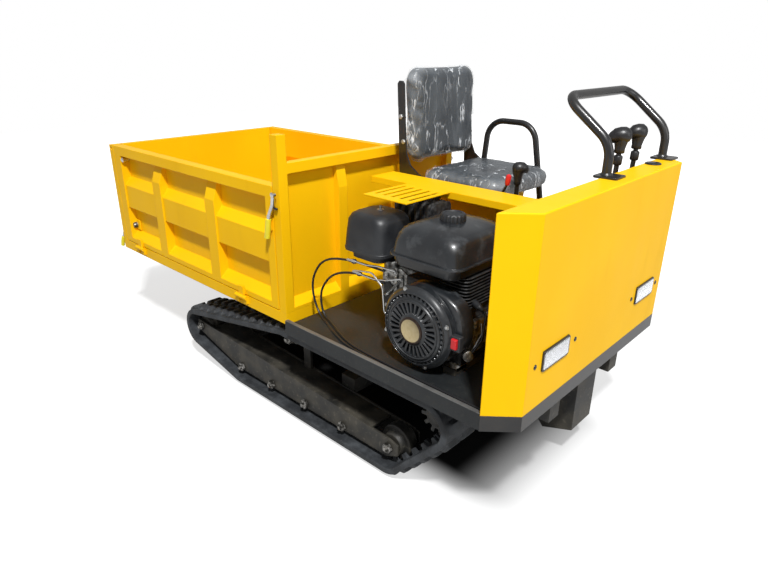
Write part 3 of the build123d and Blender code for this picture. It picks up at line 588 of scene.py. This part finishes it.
lever_boot = [(1, 26), (6, 26), (10, 20), (20, 18), (34, 10.5)]
collar = [(576, 8.5), (578, 12.5), (581, 14.2), (604, 14.2), (607, 12.5), (609, 8.5)]
parts = []
for y, lean, beak, reach in ((195, 0.045, (-0.85, -0.5, -0.1), 36), (310, 0.068, (-0.6, -0.8, 0), 31)):
    rise = unit((0, lean, 0.6))
    foot = np.array((1004, y, 440))
    parts.append(tube("lever_rod", foot + np.linspace(4, 640, 6)[:, None] * rise, 8, black_paint))
    parts.append(spun("lever_boot", lever_boot, foot, rise, grip_paint))
    parts.append(spun("lever_collar", collar, foot, rise, grip_paint, 24))
    parts += grip(foot, rise, 614, beak, reach, 27)
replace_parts(joined("pistol_levers", parts), "steering_levers")

scarlet = Recipe("red_plastic", "black_plastic", Roughness=0.35)
red_tone = scarlet.tint(scarlet.noise(40), (0.5, 0.01, 0.014), (0.62, 0.02, 0.025))
red_plastic = scarlet.set(Base_Color=red_tone)
stick = np.array((718, 118, 441))
gear_boot = [(0, 34), (5, 34), (11, 24), (21, 26), (29, 18), (41, 20), (53, 9.5)]
parts = [
    tube("gear_rod", stick + np.outer((0, 250, 490), (0, 0, 1)), 8, black_paint),
    spun("gear_boot", gear_boot, stick, (0, 0, 1), grip_paint, 32),
]
parts += grip(stick, np.array((0, 0, 1.0)), 484, (0.73, 0.68, 0.12), 27, 22.5)
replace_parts(joined("gear_lever_set", parts), "gear_lever")
choke_line = bent([(686, 60, 840), (694, 60, 895), (714, 60, 935)], 30)
choke_cap = [(-4, 6), (0, 8.8), (22, 9.8), (30, 8.5), (34, 3)]
parts = [
    tube("choke_rod", choke_line, 4.5, black_paint, 12),
    spun("choke_cap", choke_cap, choke_line[-1], (0.12, 0, 1), red_plastic, 20),
    plate("choke_bracket", (686, 49, 842), (14, 16, 2.5), black_paint),
]
joined("red_capped_lever", parts)

# Headlamps. Pressed steel bowls behind a fluted clear lens, in a thin black bezel
# set into the cowl's face.
glass = Recipe(
    "lamp_glass", "lamp_glass", Roughness=0.04, IOR=1.45, Transmission_Weight=1.0, Base_Color=(0.95, 0.97, 1, 1)
)
wave = glass.node("ShaderNodeMath", {"operation": "SINE"}, {0: glass.axis("Y") * 900.0})
glass.set(Normal=glass.relief(wave, 0.0008, 0.6))
bowl_paint = mottled("bright_bowl", "chrome_trim", 1.0, (50, 2), (0.75, 0.76, 0.78), (0.9, 0.9, 0.9), (0.12, 0.12))
cowl_face, lamp_y, lamp_z = 1135, 310, 594
bowl = [(-19, 10, 6, 4), (-18, 55, 21, 12), (3.5, 71.5, 28.5, 7), (3.5, 73.5, 30.5, 8)]
bezel = [(-6, 74.5, 31.5, 9), (3.5, 74.5, 31.5, 9), (5, 73.2, 30.2, 8.5), (5, 70.5, 27.5, 7), (1, 69.5, 26.5, 6)]
lens = [(1.2, 70, 27, 7), (5.2, 70, 27, 7), (6.2, 66, 23, 6)]
bulb = [(-17, 6), (-4, 6), (-1, 4), (0, 1)]
parts = []
lenses = []
for side in (-1, 1):
    spot = (cowl_face, side * lamp_y, lamp_z)
    parts.append(block("lamp_bowl", bowl, spot, bowl_paint, 8, 35, onwards))
    parts.append(block("lamp_bezel", bezel, spot, black_paint, 8, 35, onwards))
    parts.append(spun("lamp_bulb", bulb, spot, (1, 0, 0), zinc_plate, 16))
    lenses.append(block("lamp_lens", lens, spot, glass.material, 8, 35, onwards))
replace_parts(joined("lamp_housings", parts), "headlamps")
joined("lamp_lenses", lenses)

# Cowl trim. Domed screws hold the sheet to its frame beside the lamps, and a black
# blanking disc sits by the grab bar's outer foot.
screw = [(0, 7.5), (1.2, 7), (2.8, 4.5), (3.4, 1)]
disc = [(0, 26), (3, 25.5), (5, 22), (5.5, 4)]
parts = [spun("cowl_screw", screw, (1135.2, y, 593), (1, 0, 0), black_paint, 20) for y in (-419, -194, 205, 416)]
parts.append(spun("cowl_disc", disc, (1079, 348, 1014.2), (0, 0, 1), black_paint, 32))
joined("cowl_screws", parts)

# Gate hardware. A chrome-plated hook with a yellow sleeved grip holds each side gate
# to its front post. The rear stile has a domed boss on a plate and a chrome stop, and
# a smaller sleeved lever hangs behind each rear lower corner of the bed.
chrome = mottled("chrome_plate", "chrome_trim", 1.0, (90, 3), (0.55, 0.55, 0.54), (0.78, 0.78, 0.77), (0.1, 0.18))
sleeve = Recipe("yellow_sleeve", "painted_yellow", Roughness=0.3, Coat_Weight=0.3)
sleeve_paint = sleeve.set(Base_Color=sleeve.tint(sleeve.noise(30), (0.72, 0.62, 0.01), (0.85, 0.75, 0.02)))
latch_eye = [(-7, 6), (-5.5, 9.5), (5.5, 9.5), (7, 6)]
latch_pin = [(0, 4.5), (20, 4.5), (22, 3)]
latch_pivot = [(0, 9), (12, 9), (13.5, 7.5)]
boss = [(0, 15), (12, 14.5), (18, 11), (19, 3)]
stop = [(0, 8), (24, 8), (26, 11.5), (36, 11.5), (40, 6)]
for side, name in ((-1, "right"), (1, "left")):
    gate = f"gate_{name}"
    out = side * 494
    hook = bent([(147, out, 893), (141, out, 858), (123, out, 828), (112, out, 800)], 30)
    grip_line = [(113.8, out, 807), (113.2, out, 805), (106, out, 768), (99, out, 734), (98.5, out, 731.5)]
    grip_girth = [4, 10.2, 10.8, 10.4, 4]
    latch_foot, boss_foot = (100, side * 481.8, 790), (-1036, side * 445.5, 541)
    parts = [
        tube("latch_rod", hook, 7.2, chrome, body=gate),
        spun("latch_eye", latch_eye, (147, out, 895), (0, 1, 0), chrome, 24, body=gate),
        spun("latch_pin", latch_pin, (134, side * 486, 846), (1, 0, 0), black_paint, 16, body=gate),
        spun("latch_pivot", latch_pivot, (110, side * 479.5, 812), (0, side, 0), chrome, 24, body=gate),
        plate("latch_plate", latch_foot, (14, 30, 2.8), yellow_paint, 3, 1, sideways, gate),
        tube("latch_grip", grip_line, grip_girth, sleeve_paint, 24, body=gate),
    ]
    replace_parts(joined(f"hook_latch_{name}", parts), f"gate_latch_{name}")
    parts = [
        plate("fastener_plate", boss_foot, (34, 25, 3), yellow_paint, 3, 1, sideways, gate),
        spun("fastener_boss", boss, (-1036, side * 448, 538), (0, side, 0), worn_nut, 28, body=gate),
        spun("rear_stop", stop, (-1026, side * 440, 858), (0, side, 0), chrome, 24, body=gate),
    ]
    joined(f"gate_fastener_{name}", parts)
    near, mid = side * 468, side * 474
    rear_hook = bent([(-1120, near, 492), (-1147, near, 486), (-1158, mid, 455)], 12)
    ends = (
        (-1156.5, 473.5, 459), (-1157, 473.8, 457), (-1163, 476.5, 432), (-1167.5, 478.5, 409), (-1168, 479, 407),
    )
    rear_grip = np.array(ends) * (1, side, 1)
    parts = [
        tube("rear_hook", rear_hook, 6, chrome, 16, body="bed"),
        tube("rear_grip", rear_grip, [3, 9, 9.4, 9, 3], sleeve_paint, body="bed"),
    ]
    joined(f"rear_lever_{name}", parts)

# Seat. Foam pads in slate-grey leathercloth, still in the clear film that they were
# packed in. The film stands off the edges and lies in long creases. Its bright lines and
# edges are painted highlights, where the near-white film is made less clear, and the
# cloth is painted lighter on the tops of its creases.
# Two bent black plates carry the backrest.
cloth = Recipe("slate_leathercloth", "seat_cover", Coat_Weight=0.25, Coat_Roughness=0.15)
pull = cloth.noise(7, 5, (1, 1, 0.3), 0.6)
weave = cloth.noise(420, 2)
crease = cloth.noise(22, 6, (1, 1, 0.45), 0.65)
slate = cloth.tint(pull.above(0.32, 0.7), (0.018, 0.023, 0.029), (0.05, 0.06, 0.07))
# Painted highlight: lighter slate on the tops of the creases.
slate = cloth.blend(
    crease.above(0.5, 0.68) * 0.5, slate, cloth.tint(pull, (0.07, 0.082, 0.094), (0.11, 0.122, 0.135))
)
creased = cloth.relief(crease, 0.008, 0.7, cloth.relief(weave, 0.0003, 0.4))
cloth_paint = cloth.set(Base_Color=slate, Roughness=0.3 + pull * 0.2, Normal=creased)
# The film's near-white colour shows where its alpha rises, as painted highlights.
wrap = Recipe("clear_film", "seat_cover", Base_Color=(0.86, 0.9, 0.94, 1), Specular_IOR_Level=0.7)
ripple_big = wrap.noise(11, 4, (1, 1, 0.3), 0.58)
ripple_fine = wrap.noise(30, 2, (1, 0.9, 0.22), 0.5)
# Painted highlights: the film turns whiter and less clear along thin lines in the ripples.
crease_glint = 1 - abs(ripple_big - 0.52).above(0.0, 0.022)
thread_glint = 1 - abs(ripple_fine - 0.5).above(0.0, 0.03)
standoff = wrap.node("ShaderNodeAttribute", {"attribute_name": "standoff"}, output="Fac")
painted_film_glints = crease_glint * ripple_fine.above(0.47, 0.64) * 0.6 + thread_glint * ripple_big.above(0.5, 0.66) * 0.36
# Painted sheen: the film is also whiter at the edges, where it stands off.
painted_film_glints = painted_film_glints + standoff * 0.2 + 0.035
film_paint = wrap.set(
    Alpha=painted_film_glints.above(-0.05, 1.05),
    Roughness=0.12 + ripple_fine * 0.2,
    Normal=wrap.relief(ripple_big + ripple_fine * 0.5, 0.012, 0.8),
)


# The pads' mesh size and the furthest that the solver may swell them, in metres.
voxel, furthest, solver_frames = 0.006, 0.009, 20


def points_of(mesh):
    """A mesh's points as one array."""
    points = np.zeros(len(mesh.vertices) * 3, np.float32)
    mesh.vertices.foreach_get("co", points)
    return points.reshape(-1, 3)


def evaluated_mesh(piece):
    """What a piece's modifiers make of it, as a new mesh."""
    return bpy.data.meshes.new_from_object(piece.evaluated_get(bpy.context.evaluated_depsgraph_get()))


def pad(name, rows, origin, axes, cad):
    """A crowned foam pad, swollen by the cloth solver from a loft of rounded rectangles.

    The film over it is a copy, moved out along its normals by a sum of sine waves that
    grows towards the pad's corners."""
    piece = block(name, rows, origin, cloth_paint, 8, 180, axes)
    bpy.context.view_layer.objects.active = piece
    remesh = piece.modifiers.new("even_mesh", "REMESH")
    remesh.mode = "VOXEL"
    remesh.voxel_size = voxel
    solved = evaluated_mesh(piece)
    piece.modifiers.clear()
    piece.data = solved
    solved.name = name
    start = points_of(solved)
    cover = piece.modifiers.new("cover", "CLOTH")
    cover.settings.use_pressure = True
    cover.settings.uniform_pressure_force = 4
    cover.settings.effector_weights.gravity = 0
    for number in range(1, solver_frames + 1):
        bpy.context.scene.frame_set(number)
    shift = points_of(evaluated_mesh(piece)) - start
    far = np.linalg.norm(shift, axis=1, keepdims=True)
    start = start + shift * np.minimum(1, furthest / np.maximum(far, 1e-6))
    piece.modifiers.clear()
    bpy.context.scene.frame_set(1)
    solved.vertices.foreach_set("co", start.ravel())
    solved.polygons.foreach_set("use_smooth", np.ones(len(solved.polygons), bool))
    solved.materials.clear()
    solved.materials.append(cloth_paint)
    solved.update()
    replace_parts(piece, cad)

    film = solved.copy()
    film.name = f"{name}_film"
    normals = np.zeros(len(start) * 3, np.float32)
    film.vertices.foreach_get("normal", normals)
    normals = normals.reshape(-1, 3)
    middle = (start.max(0) + start.min(0)) / 2
    sides = [abs((start - middle) @ unit(axis)) for axis in axes[:2]]
    halves = [far / far.max() for far in sides]
    corner = step(np.maximum(*halves), 0.82, 0.99) * 0.6 + step(halves[0] * halves[1], 0.5, 0.8) * 0.6
    long_wave = np.sin(start @ (61, 47, 83)) * np.sin(start @ (-39, 91, 29))
    wave = long_wave + 0.6 * np.sin(start @ (143, -97, 121))
    lift = 0.0025 + 0.0012 * wave + corner * (0.003 + 0.0022 * wave)
    lifted = start + normals * np.maximum(lift, 0.001)[:, None]
    film.vertices.foreach_set("co", lifted.astype(np.float32).ravel())
    film.attributes.new("standoff", "FLOAT", "POINT").data.foreach_set("value", corner.astype(np.float32))
    film.materials.clear()
    film.materials.append(film_paint)
    film.update()
    cover_piece = bpy.data.objects.new(film.name, film)
    bpy.context.scene.collection.objects.link(cover_piece)
    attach(cover_piece, "chassis")


seat_y = 248
seat_rows = [
    (2, 160, 176, 50), (12, 176, 190, 55), (36, 180, 195, 55), (53, 174, 189, 55), (62, 156, 172, 50),
    (64, 100, 110, 40),
]
pad("seat_cushion_pad", seat_rows, (507, seat_y, 868), upright, "seat_cushion")
back_rows = [
    (8, 182, 156, 46), (16, 195, 170, 50), (34, 199, 175, 52), (50, 193, 168, 50), (58, 175, 151, 46),
    (60, 100, 80, 40),
]
leaning = ((0, 1, 0), (-0.0419, 0, 0.9991), (0.9991, 0, 0.0419))
pad("seat_backrest_pad", back_rows, (238, 250, 1122), leaning, "seat_backrest")


def prism(name, outline, rows, paint, sharp=30):
    """Carry an outline of (x, z) to the right. A row is (distance from the middle plane, inset)."""
    outline = np.asarray(outline, float)
    onward = np.roll(outline, -1, 0)
    if (outline[:, 0] * onward[:, 1] - onward[:, 0] * outline[:, 1]).sum() < 0:
        outline = outline[::-1]
    middle = outline.mean(0)
    out = outline - middle
    size = np.linalg.norm(out, axis=1, keepdims=True)
    rings = []
    for far, inset in rows:
        x, z = (middle + out * (1 - inset / size)).T
        rings.append(np.stack((x, np.full_like(x, -far), z), -1))
    return loft(name, rings, paint, sharp)


bracket = [
    (230, 1236), (238, 1246), (254, 1246), (262, 1236), (270, 1100), (281, 985), (300, 945), (345, 915),
    (436, 892), (440, 886), (440, 868), (250, 868),
]
bracket_bolt = [(3, 9.5), (8, 9.5), (9.5, 7.5)]
parts = []
for side in (-1, 1):
    y = seat_y + side * 209
    parts.append(prism("hinge_plate", bracket, [(-y - 3, 0), (-y + 3, 0)], black_paint))
    for x, z in ((252, 1120), (266, 1030), (262, 900), (400, 880)):
        parts.append(spun("bracket_bolt", bracket_bolt, (x, y, z), (0, side, 0), zinc_plate, 6, 20))
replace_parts(joined("seat_brackets", parts), "seat_frame")

# Engine. Gloss black pressings over dark castings: a dished starter cover with
# radial louvres and a blank badge, a finned cylinder and a bare alloy carburettor.
shell = Recipe("engine_enamel", "engine_black", Coat_Weight=0.35, Coat_Roughness=0.08)
haze = shell.noise(8, 5)
speck = shell.noise(160, 2)
shell_tone = shell.tint(haze.above(0.35, 0.75), (0.006, 0.007, 0.009), (0.018, 0.021, 0.024))
dusting = shell.noise(20, 6, None, 0.65)
shell_tone = shell.blend(
    dusting.above(0.5, 0.68) * 0.5, shell_tone, shell.tint(haze, (0.045, 0.05, 0.055), (0.07, 0.075, 0.08))
)
shell_relief = shell.relief(speck, 0.0002, 0.25, shell.rounded(0.0015))
shell_paint = shell.set(Base_Color=shell_tone, Roughness=0.24 + dusting * 0.22, Normal=shell_relief)
plastic = Recipe("grained_plastic", "black_plastic")
grain = plastic.noise(240, 2)
wipe = plastic.noise(10, 4)
plastic_tone = plastic.tint(wipe.above(0.3, 0.75), (0.009, 0.01, 0.012), (0.026, 0.028, 0.031))
plastic_paint = plastic.set(
    Base_Color=plastic_tone, Roughness=0.36 + wipe * 0.2, Normal=plastic.relief(grain, 0.0003, 0.35)
)
cast_paint = mottled(
    "dark_casting", "engine_casting", 0.3, (70, 4), (0.014, 0.014, 0.015), (0.048, 0.048, 0.048), (0.38, 0.25),
    (0.4, 0.7), 0.002,
)
alloy_paint = mottled(
    "bare_alloy", "engine_casting", 0.85, (55, 5), (0.12, 0.115, 0.105), (0.5, 0.5, 0.48), (0.3, 0.3),
    (0.38, 0.66), 0.0015,
)
repaint(alloy_paint, "carburettor")

fan_x, fan_z = 750, 584
fan_sides, louvres, rim_slots = 360, 28, 40
fan_angle = np.linspace(2 * pi, 0, fan_sides, endpoint=False)
fan_ring = [4, 38, 44, 49, 51, 53, 56, 60, 78, 83, 86, 89, 91, 92, 93, 95, 98, 99.5, 101, 102.5, 104]
fan_ring += [107, 109, 110.5, 112, 113.5, 115, 118, 124, 129, 131, 131]
r, a = np.meshgrid(fan_ring, fan_angle, indexing="ij")
dome = -470 + 7 * step(r, 38, 50) + 8 * step(r, 85, 118) + 16 * step(r, 116, 131)
for height, inner, outer, count, least in (
    (12, (52, 55), (83, 86), louvres, 0.35),
    (10, (103, 105), (108, 110.5), rim_slots, 0.4),
):
    dome += height * step(r, *inner) * (1 - step(r, *outer)) * step(np.cos(a * count), 0.0, least)
for inner, outer, width in ((89, 93, 2), (99.5, 102.5, 1.5), (110.5, 113.5, 1.5)):
    dome -= 2.8 * (step(r, inner, inner + width) - step(r, outer, outer + width))
dome[-1] = -372
cover = np.stack((fan_x + r * np.cos(a), dome, fan_z + r * np.sin(a)), -1)
cover_faces = quads(len(fan_ring), fan_sides) + [list(range(fan_sides))[::-1]]
parts = [show("starter_cover", cover, cover_faces, shell_paint, 38)]
volute = [
    (700, 600), (712, 690), (758, 714), (800, 712), (838, 704), (872, 686), (893, 662), (904, 628), (906, 590),
    (900, 560), (886, 538), (860, 520), (800, 512), (750, 520),
]
parts.append(prism("fan_volute", volute, [(370, 0), (410, 0), (416.5, 2), (420.5, 6), (422, 12)], shell_paint))
for k in range(4):
    turned = radians(20 + 90 * k)
    spot = (fan_x + 123.5 * cos(turned), -447.5, fan_z + 123.5 * sin(turned))
    parts += bolt("cover_bolt", spot, (0, -1, 0), 5.5)
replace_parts(joined("fan_and_starter", parts), "fan_cover")
brass = Recipe("blank_badge", "chrome_trim", Metallic=0.5, Roughness=0.35)
to_badge = {"Vector": brass.place(), "Location": (-fan_x / 1000, 0, -fan_z / 1000), "Scale": (1, 0, 1)}
badge_place = brass.node("ShaderNodeMapping", {}, to_badge)
badge_radius = brass.node("ShaderNodeVectorMath", {"operation": "LENGTH"}, {0: badge_place}, output="Value")
badge_tone = brass.tint(brass.noise(120), (0.42, 0.33, 0.16), (0.6, 0.5, 0.3))
dark_rim = brass.tint(brass.noise(90), (0.02, 0.012, 0.01), (0.05, 0.03, 0.02))
badge_paint = brass.set(Base_Color=brass.blend(badge_radius.above(0.0352, 0.0362), badge_tone, dark_rim))
badge = [(466, 42.5), (471.5, 42.5), (473, 40.5), (473.2, 38), (472.2, 36.5)]
spun("starter_disc", badge, (fan_x, 0, fan_z), (0, -1, 0), badge_paint, 48)

crank_outline = [(640, 464), (862, 464), (868, 560), (846, 640), (800, 700), (640, 700)]
parts = [
    prism("crankcase", crank_outline, [(110, 10), (114, 0), (364, 0), (370, 10)], cast_paint),
    spun("gear_case", [(0, 62), (62, 62), (70, 54)], (fan_x, -110, fan_z), (0, 1, 0), cast_paint, 36),
    block("cylinder", [(620, 46, 88, 20), (744, 46, 88, 20)], (808, -250, 0), cast_paint, 5),
    block(
        "side_cover",
        [(860, 70, 52, 20), (876, 70, 52, 20), (880, 65, 47, 18)],
        (0, -272, 552),
        alloy_paint,
        6,
        35,
        onwards,
    ),
    spun(
        "oil_filler",
        [(0, 14), (18, 13), (19, 17), (30, 16.5), (32, 13)],
        (866, -345, 500),
        (0.75, -0.6, 0.25),
        alloy_paint,
        24,
    ),
    spun(
        "spark_cap",
        [(0, 11), (30, 10.5), (34, 7.5), (50, 6)],
        (862, -315, 662),
        (0.9, -0.3, -0.2),
        plastic_paint,
        20,
    ),
]
parts += [plate("fin", (808, -250, z), (57, 107, 1.8), cast_paint, 22) for z in np.arange(648, 747, 10.6)]
for y, z in ((-330, 592), (-330, 512), (-214, 592), (-214, 512)):
    parts += bolt("side_bolt", (880, y, z), (1, 0, 0), 6)
lead_line = bent([(905, -325, 655), (918, -330, 640), (912, -335, 560), (894, -350, 520), (880, -352, 485)], 12)
parts.append(tube("plug_lead", lead_line, 3.5, grip_paint, 12))
parts.append(
    tube(
        "earth_strap",
        bent([(884, -300, 592), (905, -325, 575), (893, -345, 530), (884, -330, 512)], 10),
        2.6,
        zinc_plate,
        10,
    )
)
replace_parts(joined("finned_engine", parts), "engine_block")

parts = [
    plate("switch_box", (893, -432, 580), (17, 10, 24), plastic_paint, 4, 2),
    plate("switch_rocker", (893, -445, 582), (10, 6, 16), red_plastic, 3, 2),
]
foot_rows = [(450, 26, 30, 6), (462, 26, 30, 6), (474, 12, 20, 5)]
for x in (670, 840):
    for y in (-360, -130):
        parts += bolt("foot_bolt", (x, y, 462), (0, 0, 1), 9.5)
        parts.append(block("engine_foot", foot_rows, (x - 4, y + 4, -0.5), alloy_paint, 4))
joined("engine_switch_and_feet", parts)


# Control cables. Two thin black sheaths that leave the throttle, loop back over the
# deck's edge and run forward along the deck.
def flowing(points):
    """Cut a run's corners four times, at a quarter and three quarters of every leg."""
    points = np.asarray(points, float)
    for _ in range(4):
        cut = np.empty((2 * len(points) - 2, 3))
        cut[0::2] = 0.75 * points[:-1] + 0.25 * points[1:]
        cut[1::2] = 0.25 * points[:-1] + 0.75 * points[1:]
        points = np.concatenate((points[:1], cut, points[-1:]))
    return points


upper_route = [
    (530, -349, 682), (400, -382, 700), (280, -392, 676), (222, -394, 600), (214, -394, 530),
    (240, -394, 464), (290, -404, 440), (400, -455, 444), (520, -495, 444), (1040, -500, 444),
]
lower_route = [
    (530, -349, 640), (420, -368, 654), (315, -380, 628), (258, -384, 562), (246, -384, 508),
    (266, -388, 452), (320, -400, 442), (430, -452, 444), (540, -482, 444), (1040, -488, 444),
]
sheath = 4
parts = [tube("control_cable", flowing(route), sheath, grip_paint, 14) for route in (upper_route, lower_route)]
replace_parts(joined("looped_cables", parts), "control_cables")

# Throttle. Two bare arms and a coil spring on the plate beside the carburettor, and
# the bright ends of the two control cables.
helix = np.linspace(0, 1, 150)
spring_line = np.outer(1 - helix, (538, -353, 600)) + np.outer(helix, (602, -353, 668))
coil, coil_radius = helix * 24 * pi, 4.2
spring_line += coil_radius * (np.outer(np.cos(coil), (0.73, 0, -0.68)) + np.outer(np.sin(coil), (0, 1, 0)))
parts = [
    prism("governor_arm", [(572, 572), (590, 572), (586, 706), (577, 706)], [(346.5, 0), (350, 0)], alloy_paint),
    prism("throttle_arm", [(602, 556), (617, 556), (610, 688), (601, 688)], [(346.5, 0), (350, 0)], alloy_paint),
    prism(
        "throttle_plate",
        [(528, 552), (560, 545), (566, 640), (545, 655), (528, 640)],
        [(345, 1), (348.5, 0)],
        cast_paint,
    ),
    tube("throttle_spring", spring_line, 1.1, zinc_plate, 6),
    tube(
        "upper_rod",
        bent([(582, -354, 696), (520, -366, 700), (470, -372, 694), (410, -380, 698)], 20),
        3.2,
        chrome,
        12,
    ),
    tube(
        "lower_rod",
        bent([(607, -354, 676), (560, -372, 664), (500, -366, 650), (420, -368, 652)], 20),
        3.2,
        chrome,
        12,
    ),
    tube(
        "long_rod",
        bent(
            [(425, -385, 668), (520, -398, 688), (570, -400, 652), (578, -400, 568), (634, -404, 536)], (30, 30, 20)
        ),
        2.8,
        chrome,
        12,
    ),
    spun(
        "carb_bowl",
        [(0, 26), (4, 28.5), (26, 28.5), (33, 22), (35, 8), (42, 7)],
        (520, -290, 640),
        (0, 0, -1),
        alloy_paint,
        32,
    ),
]
cable_end = [(0, 6.5), (6, 8.5), (16, 8.5), (18, 6.2), (38, 5.8), (40, 4.5)]
for spot, axis in (((428, -378, 696), (-1, -0.1, 0.02)), ((440, -366, 651), (-1, -0.05, 0.04))):
    parts.append(spun("cable_end", cable_end, spot, axis, chrome, 6, 20))
for x, z in ((540, 566), (581, 590), (609, 572), (540, 672), (581, 690), (606, 672)):
    parts += bolt("throttle_bolt", (x, -349, z), (0, -1, 0), 4.8)
joined("throttle_linkage", parts)

# Fuel tank. Two gloss black pressings that meet in a rolled seam, under a ribbed
# plastic cap with a rounded rim.
tank_rows = [
    (748, 112, 132, 28), (752, 118, 138, 34), (783, 128, 148, 36), (783, 135, 155, 42), (784.5, 136, 156, 43),
    (788.5, 136, 156, 43), (790, 135, 155, 42), (790, 127.5, 147.5, 38), (828, 123.5, 143.5, 42),
    (848, 118.5, 138.5, 46), (862, 109.5, 129.5, 50), (871, 98, 118, 50), (878, 82, 102, 45), (884, 60, 80, 40),
    (887.5, 36, 52, 30), (888.5, 10, 20, 8),
]
tank = block("seamed_tank", tank_rows, (740, -275, 0), shell_paint, 14)
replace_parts(tank, "fuel_tank")
cap_sides, cap_ribs = 144, 18
cap_turn = np.linspace(0, 2 * pi, cap_sides, endpoint=False)
cap_rows = [
    (881, 37, 1), (886, 38, 1), (903, 37.5, 1), (908.5, 36, 0.4), (910.5, 33.5, 0), (910.5, 27, 0), (908.5, 26, 0),
    (908.5, 4, 0),
]
rings = []
for z, radius, ribbed in cap_rows:
    r = radius + 1.6 * ribbed * np.cos(cap_turn * cap_ribs)
    rings.append(np.stack((752 + r * np.cos(cap_turn), -290 + r * np.sin(cap_turn), np.full_like(r, z)), -1))
cap_top = list(range(7 * cap_sides, 8 * cap_sides))
cap = show("ribbed_cap", rings, quads(len(cap_rows), cap_sides) + [cap_top], plastic_paint)
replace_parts(cap, "fuel_cap")

# Air cleaner. A grained plastic box with rounded shoulders on a narrower base, held
# down by one nut.
box_rows = [
    (708, 68, 68, 28), (724, 70, 70, 30), (731, 72, 72, 30), (732, 92, 87, 34), (742, 93, 88, 34),
    (744, 91.5, 86.5, 34), (800, 88, 83, 36), (838, 84, 80, 38), (854, 76, 73, 38), (862, 62, 62, 34),
    (863.5, 45, 45, 26),
]
parts = [
    block("cleaner_box", box_rows, (457, -300, 0), plastic_paint, 12),
    spun(
        "cleaner_nut",
        [(863.5, 12), (866, 12), (867, 5), (878, 5), (879, 3.5)],
        (455, -290, 0),
        (0, 0, 1),
        zinc_plate,
        20,
    ),
    plate("cleaner_bracket", (576, -280, 742), (36, 30, 10), plastic_paint),
]
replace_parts(joined("square_air_cleaner", parts), "air_cleaner")

# Muffler. A dark ribbed drum across the back of the engine, on an elbow from its port.
drum_half, rib_pitch = 92, 26
far = np.linspace(-drum_half, drum_half, 113)
rib = 6.5 * step(np.cos((far + drum_half) * 2 * pi / rib_pitch), -0.2, 0.4)
taper = np.minimum(1, (drum_half - abs(far)) / 16 + 0.6)
drum_rows = np.stack((far, (43 + rib) * taper, (54 + rib) * taper, np.full_like(far, 22)), -1)
parts = [
    block("ribbed_drum", drum_rows, (510, -140, 826), cast_paint, 9, 35, onwards),
    plate("exhaust_elbow", (588, -140, 716), (18, 20, 50), cast_paint, 15, 2),
    plate("exhaust_port", (605, -140, 680), (35, 20, 20), cast_paint, 15, 2),
]
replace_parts(joined("ribbed_muffler", parts), "muffler")


# Heat guard. A flat yellow sheet over the muffler with five long slots, on two short
# black legs.
def slotted(name, xs, ys, low, high, opened, paint):
    """A sheet on a grid of lines, with walls round the cells that are left out."""
    ny = len(ys)
    gx, gy, gz = np.meshgrid(xs, ys, (low, high), indexing="ij")
    solid = np.pad(~np.asarray(opened), 1)
    faces = []
    for i, j in zip(*np.nonzero(solid[1:-1, 1:-1])):
        a, b, c, d = (((i + m) * ny + j + n) * 2 for m, n in ((0, 0), (1, 0), (1, 1), (0, 1)))
        faces += [[a, d, c, b], [a + 1, b + 1, c + 1, d + 1]]
        sides = (
            (solid[i + 1, j], a, b),
            (solid[i + 2, j + 1], b, c),
            (solid[i + 1, j + 2], c, d),
            (solid[i, j + 1], d, a),
        )
        faces += [[p, q, q + 1, p + 1] for neighbour, p, q in sides if not neighbour]
    return show(name, np.stack((gx, gy, gz), -1), faces, paint, 30)


guard_x = np.array([398, 414, 428, 450, 464, 486, 500, 522, 536, 558, 572, 588])
guard_y = np.array([-314, -279, -125, -90])
opened = np.zeros((11, 3), bool)
opened[1::2, 1] = True
parts = [slotted("guard_sheet", guard_x, guard_y, 908, 912, opened, yellow_paint)]
for y in (-158, -122):
    parts.append(plate("guard_leg", (560, y, 899), (10, 8, 9.2), black_paint, 2))
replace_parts(joined("slotted_guard", parts), "heat_guard")

# Tipping ram. A hard-chromed rod slides in the painted barrel.
rod_paint = mottled(
    "hard_chrome", "rod_chrome", 1.0, (30, 3, (1, 1, 0.2)), (0.55, 0.55, 0.56), (0.72, 0.72, 0.73), (0.12, 0.14),
)
repaint(rod_paint, "tip_rod")
